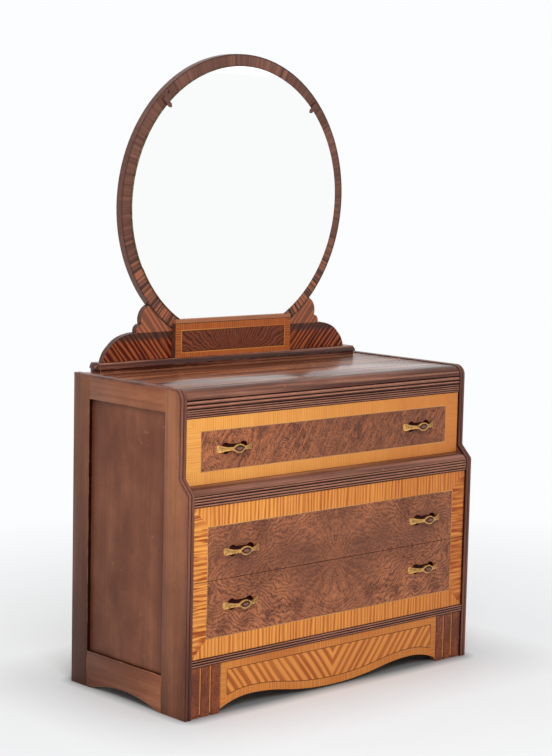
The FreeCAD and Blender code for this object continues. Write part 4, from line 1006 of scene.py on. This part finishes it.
class CHEST_OT_handles(ChestOperator):
    """Shape the cast handles and polish their inserts"""

    bl_idname = "chest.handles"
    bl_label = "Handles"

    def execute(self, context):
        light, dark, insert = self.tones("brass_light", "brass_dark", "insert")
        cast = {"brass": brass("rubbed_brass", light, dark),
                "hollow": brass("tarnished_brass", toned(light, 0.72), dark)}
        stops = ((0.35, toned(insert, 0.35)), (0.52, insert), (0.7, toned(insert, 1.7)))
        plastic = {"insert": clouded("insert", 0.18, 260.0, stops, 0.00008, coat=0.5, warp=1.2),
                   "facet": stained("insert_facet", toned(insert, 0.35))}
        facet = self.sizes.insert_facet
        for tag in DRAWERS:
            piece = paint(taken(tag + "_drawer_handles", tag + "_bow_handles"), cast)
            self.round_ends(piece, *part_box(tag + "_drawer_handles"))
            self.sink_legs(piece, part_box(tag + "_drawer_front")[0].y)
            soften(piece, 0.0004, angle=50)
            piece = paint(taken(tag + "_drawer_inserts", tag + "_inserts"), plastic)
            edit(piece)
            select_faces(piece, lambda centre, normal: normal.y < -0.6)
            bpy.ops.mesh.inset(thickness=facet / 2, depth=-0.0012, use_even_offset=True)
            bpy.ops.mesh.inset(thickness=facet, depth=0.0010, use_even_offset=True)
            leave()
            # Painted shade: the insert's faces other than its middle and those that face up get the dark
            # facet finish.
            for face in piece.data.polygons:
                face.material_index = int(face.normal.z < 0.35 and not face.select)
            soften(piece, 0.0003, angle=25)
        return {"FINISHED"}

    def round_ends(self, piece, low, high):
        """Round the corners of the fan-shaped ends, each with four flat cuts around a hub."""
        radius = self.sizes.handle_round
        hub_x, hub_z = high.x - HANDLE_PLACE - radius, (high.z - low.z) / 2 - 1.58 * radius
        edit(piece)
        for side, end, up, turn in product((-1, 1), (-1, 1), (-1, 1), (18, 42, 66, 90)):
            hub = Vector((side * HANDLE_PLACE + end * hub_x, 0.0, (low.z + high.z) / 2 + up * hub_z))
            way = Vector((end * cos(radians(turn)), 0.0, up * sin(radians(turn))))
            select_faces(piece, lambda centre, normal: centre.x * side > 0
                         and (centre.x - side * HANDLE_PLACE) * end > hub_x / 1.3)
            bpy.ops.mesh.bisect(plane_co=hub + way * radius, plane_no=way, use_fill=True, clear_outer=True)
        leave()

    def sink_legs(self, piece, face_y):
        """Sink a hollow into the front of each leg."""
        edit(piece)
        for side, place in product((-1, 1), (-HANDLE_LEG, -HANDLE_EYE, HANDLE_EYE, HANDLE_LEG)):
            cut(0, HANDLE_PLACE * side + place)
        for side, leg in product((-1, 1), (-1, 1)):
            ends = sorted(HANDLE_PLACE * side + leg * place for place in (HANDLE_EYE, HANDLE_LEG))
            select_faces(piece, lambda centre, normal: ends[0] < centre.x < ends[1] and normal.y < -0.3
                         and abs(normal.z) < 0.3 and centre.y < face_y - LEG_RAISE)
            bpy.ops.mesh.inset(thickness=self.sizes.handle_rim, depth=-self.sizes.handle_hollow,
                               use_even_offset=True)
            leave()
            for face in piece.data.polygons:
                if face.select:
                    face.material_index = 1
            bpy.ops.object.mode_set(mode="EDIT")
        leave()


# Mirror

MIRROR_LEAN = atan(0.043)


def front_and_back(front):
    """A rule for a board with one finish in front, raw wood behind and another finish on its edge."""
    return lambda centre, normal: front if normal.y < -0.9 else "wood" if normal.y > 0.9 else "edge"


class CHEST_OT_mirror(ChestOperator):
    """Model the veneered disc, the glass and its clips"""

    bl_idname = "chest.mirror"
    bl_label = "Mirror"

    def execute(self, context):
        low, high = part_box("mirror_board")
        height = (low.z + high.z) / 2
        light, dark, clip = self.tones("rim_light", "rim_dark", "clip")
        edge = solid_wood("rim_edge", "X", *[toned(light, share) for share in (0.78, 0.56, 0.36)])
        finishes = {"veneer": rim_veneer("rim_veneer", height, light, dark), "edge": edge,
                    "wood": self.raw_wood()}
        dressed("mirror_board", "veneered_disc", finishes, front_and_back("veneer"))
        stops = ((0.35, tint(72, 78, 52)), (0.7, tint(150, 156, 120)))
        finishes = {"glass": silvered("silvered_glass", self.tone("glass")),
                    "edge": clouded("glass_edge", 0.25, 90.0, stops, 0.00005)}
        dressed("mirror_glass", "silvered_glass", finishes,
                lambda centre, normal: "glass" if normal.y < -0.6 else "edge")
        stops = ((0.4, toned(clip, 0.55)), (0.6, clip))
        lacquer = clouded("clip_lacquer", 0.36, 320.0, stops, 0.00006, coat=0.2, detail=4)
        self.clips(lacquer, height, high - low)
        return {"FINISHED"}

    def clip(self, finish):
        """A bent strip with a rounded, pointed end; its middle is on the rim of the glass."""
        inner, outer = 0.0128, 0.0218  # its reach over the glass and over the board
        width, lift, thick = 0.0120, 0.0064, 0.0011
        taper, bend = 0.0060, 0.0012  # the length of its point, and the place of its bend
        bpy.ops.object.select_all(action="DESELECT")
        bpy.ops.mesh.primitive_cube_add(size=1)
        clip = bpy.context.object
        clip.name = "upper_right_clip"
        clip.scale = (inner + outer, width, thick)
        clip.location = ((outer - inner) / 2, 0.0, lift + thick / 2)
        bpy.ops.object.transform_apply(location=True, rotation=True, scale=True)
        edit(clip)
        cut(0, taper - inner)
        cut(0, bend)
        select_faces(clip, lambda centre, normal: normal.x < -0.9)
        bpy.ops.transform.resize(value=(1, 0.3, 1), orient_type="GLOBAL")
        select_faces(clip, lambda centre, normal: normal.z < -0.9 and centre.x > bend)
        bpy.ops.mesh.extrude_region_move(TRANSFORM_OT_translate={"value": (0, 0, -lift)})
        leave()
        modified(clip, "BEVEL", width=0.0022, segments=4, limit_method="ANGLE", angle_limit=radians(20),
                 affect="EDGES", use_clamp_overlap=True)
        bpy.ops.object.shade_smooth_by_angle(angle=radians(40))
        return paint(clip, {"all": finish})

    def clips(self, finish, height, board):
        """Four clips around the glass; board is the size of the leaning disc's box."""
        low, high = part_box("mirror_glass")
        level, front = Vector((1.0, 0.0, 0.0)), Vector((0.0, -cos(MIRROR_LEAN), -sin(MIRROR_LEAN)))
        face = (board.y - board.z * sin(MIRROR_LEAN)) / 2 / cos(MIRROR_LEAN)
        middle = Vector((0.0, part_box("mirror_board")[0].y + board.y / 2, height)) + front * face
        first = self.clip(finish)
        clips = {45: first}
        for tag, angle in (("upper_left", 135), ("lower_right", -70), ("lower_left", -110)):
            clips[angle] = added(tag + "_clip", first.data.copy())
        for angle, clip in clips.items():
            way = cos(radians(angle)) * level + sin(radians(angle)) * front.cross(level)
            foot = middle + way * (high.x - low.x) / 2
            clip.matrix_world = placed(foot, way, front.cross(way), front)
            settle(pick(clip), NODES["mirror_clips"]["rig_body"])
            bpy.ops.object.transform_apply(location=True, rotation=True, scale=True)
        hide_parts("mirror_clips")


class CHEST_OT_mirror_base(ChestOperator):
    """Finish the base rail, the wings and the centre box"""

    bl_idname = "chest.mirror_base"
    bl_label = "Mirror base"

    def execute(self, context):
        light, dark = self.tones("moulding_light", "moulding_dark")
        polished = solid_wood("rail_wood", "X", light, toned(dark, 1.3), toned(dark, 0.5), roughness=0.28,
                              figure=60.0, cloud=0.6, coat=0.15, spread=0.09)
        # The rail's rounded edges carry wear and painted highlight: patches lighter than the rail itself.
        rubbed = rubbed_edge("rubbed_rail", toned(light, 1.25), dark)
        plain("mirror_base_rail", "base_rail", polished, self.sizes.softening, rubbed)
        stripes = wing_stripes("wing_stripes", *self.tones("wing_light", "wing_dark"), 0.0135)
        rim = self.tone("rim_light")
        edge = solid_wood("wing_edge", "X", *[toned(rim, share) for share in (0.6, 0.4, 0.22)])
        for side in SIDES:
            dressed(side + "_wing", side + "_striped_wing",
                    {"stripes": stripes, "edge": edge, "wood": self.raw_wood()}, front_and_back("stripes"))
        self.box(edge, *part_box("centre_box"))
        return {"FINISHED"}

    def box(self, edge, low, high):
        """The centre box: a burr panel in two lines and a border, and a line under the cap."""
        s = self.sizes
        satin_light, satin_dark, side_light, side_mid, light, dark, base, line = self.tones(
            "satin_light", "satin_dark", "side_light", "side_mid", "box_light", "box_dark", "box_panel",
            "string_dark")
        finishes = {
            "band": crossbanded("box_border", high.x, low.z, s.box_cap, light, dark, 0.0072, 0.95, shade_to_right=0.1),
            "line": stained("box_line", line),
            "pale": solid_wood("box_pale_line", "X", between(satin_light, satin_dark), satin_dark, light),
            "panel": fan_figure("box_burr", base, low.z - 0.05),
            "dark": edge,
            "cap": solid_wood("box_cap", "X", side_light, side_light, side_mid),
        }
        wide, wider = s.stringing, 2.5 * s.stringing
        cuts = ring_cuts(*s.box_panel, (0, wide, wider)) + [(2, s.box_cap), (2, s.box_cap - wide)]

        def inlay(centre, normal):
            if centre.z > s.box_cap:
                return "cap"
            if centre.y > low.y + FACE_SKIN:
                return "dark"
            ring = outside(centre, *s.box_panel)
            if ring < 0:
                return "panel"
            if ring < wide or centre.z > s.box_cap - wide:
                return "line"
            return "pale" if ring < wider else "band"

        dressed("centre_box", "inlaid_box", finishes, inlay, cuts)


# Inside and behind


class CHEST_OT_inside(ChestOperator):
    """Finish the rails, runners, blocks, back and mirror posts"""

    bl_idname = "chest.inside"
    bl_label = "Inside and back"

    def execute(self, context):
        across, deep = self.raw_wood(), self.raw_wood("runner_wood", "Y")
        upright = self.raw_wood("post_wood", "Z")
        steel = drawn_steel("screw_steel", self.tone("steel"))
        width = self.sizes.inner_softening
        for node in ("upper_divider_rail", "front_bottom_rail"):
            plain(node, node + "_board", across, width)
        for node in ("upper_runners", "middle_runners", "lower_runners"):
            plain(node, node + "_boards", deep, width)
        plain("glue_blocks", "corner_blocks", upright, 0.001)
        plain("back_panel", "back_board", upright, 0)
        plain("mirror_posts", "battens", upright, 0.001)
        plain("mirror_screws", "post_screws", steel, width / 2)
        return {"FINISHED"}


# Panel

OPERATORS = (
    CHEST_OT_stage,
    CHEST_OT_sides,
    CHEST_OT_mouldings,
    CHEST_OT_apron,
    CHEST_OT_drawer_fronts,
    CHEST_OT_drawer_boxes,
    CHEST_OT_handles,
    CHEST_OT_mirror,
    CHEST_OT_mirror_base,
    CHEST_OT_inside,
)


class CHEST_PT_sidebar(bpy.types.Panel):
    """Lists the steps and the settings of the chest"""

    bl_label = "Dressing Chest"
    bl_space_type = "VIEW_3D"
    bl_region_type = "UI"
    bl_category = "Dressing Chest"

    def draw(self, context):
        for operator in OPERATORS:
            self.layout.operator(operator.bl_idname)
        for name, group in SETTINGS:
            box = self.layout.box()
            for prop in group.__annotations__:
                box.prop(getattr(context.scene, name), prop)


def register():
    for cls in (*(group for _, group in SETTINGS), *OPERATORS, CHEST_PT_sidebar):
        bpy.utils.register_class(cls)
    for name, group in SETTINGS:
        setattr(bpy.types.Scene, name, bpy.props.PointerProperty(type=group))


def unregister():
    for name, _ in SETTINGS:
        delattr(bpy.types.Scene, name)
    for cls in (*(group for _, group in SETTINGS), *OPERATORS, CHEST_PT_sidebar):
        bpy.utils.unregister_class(cls)


def main():
    register()
    for operator in OPERATORS:
        group, name = operator.bl_idname.split(".")
        getattr(getattr(bpy.ops, group), name)()


if __name__ == "__main__":
    main()
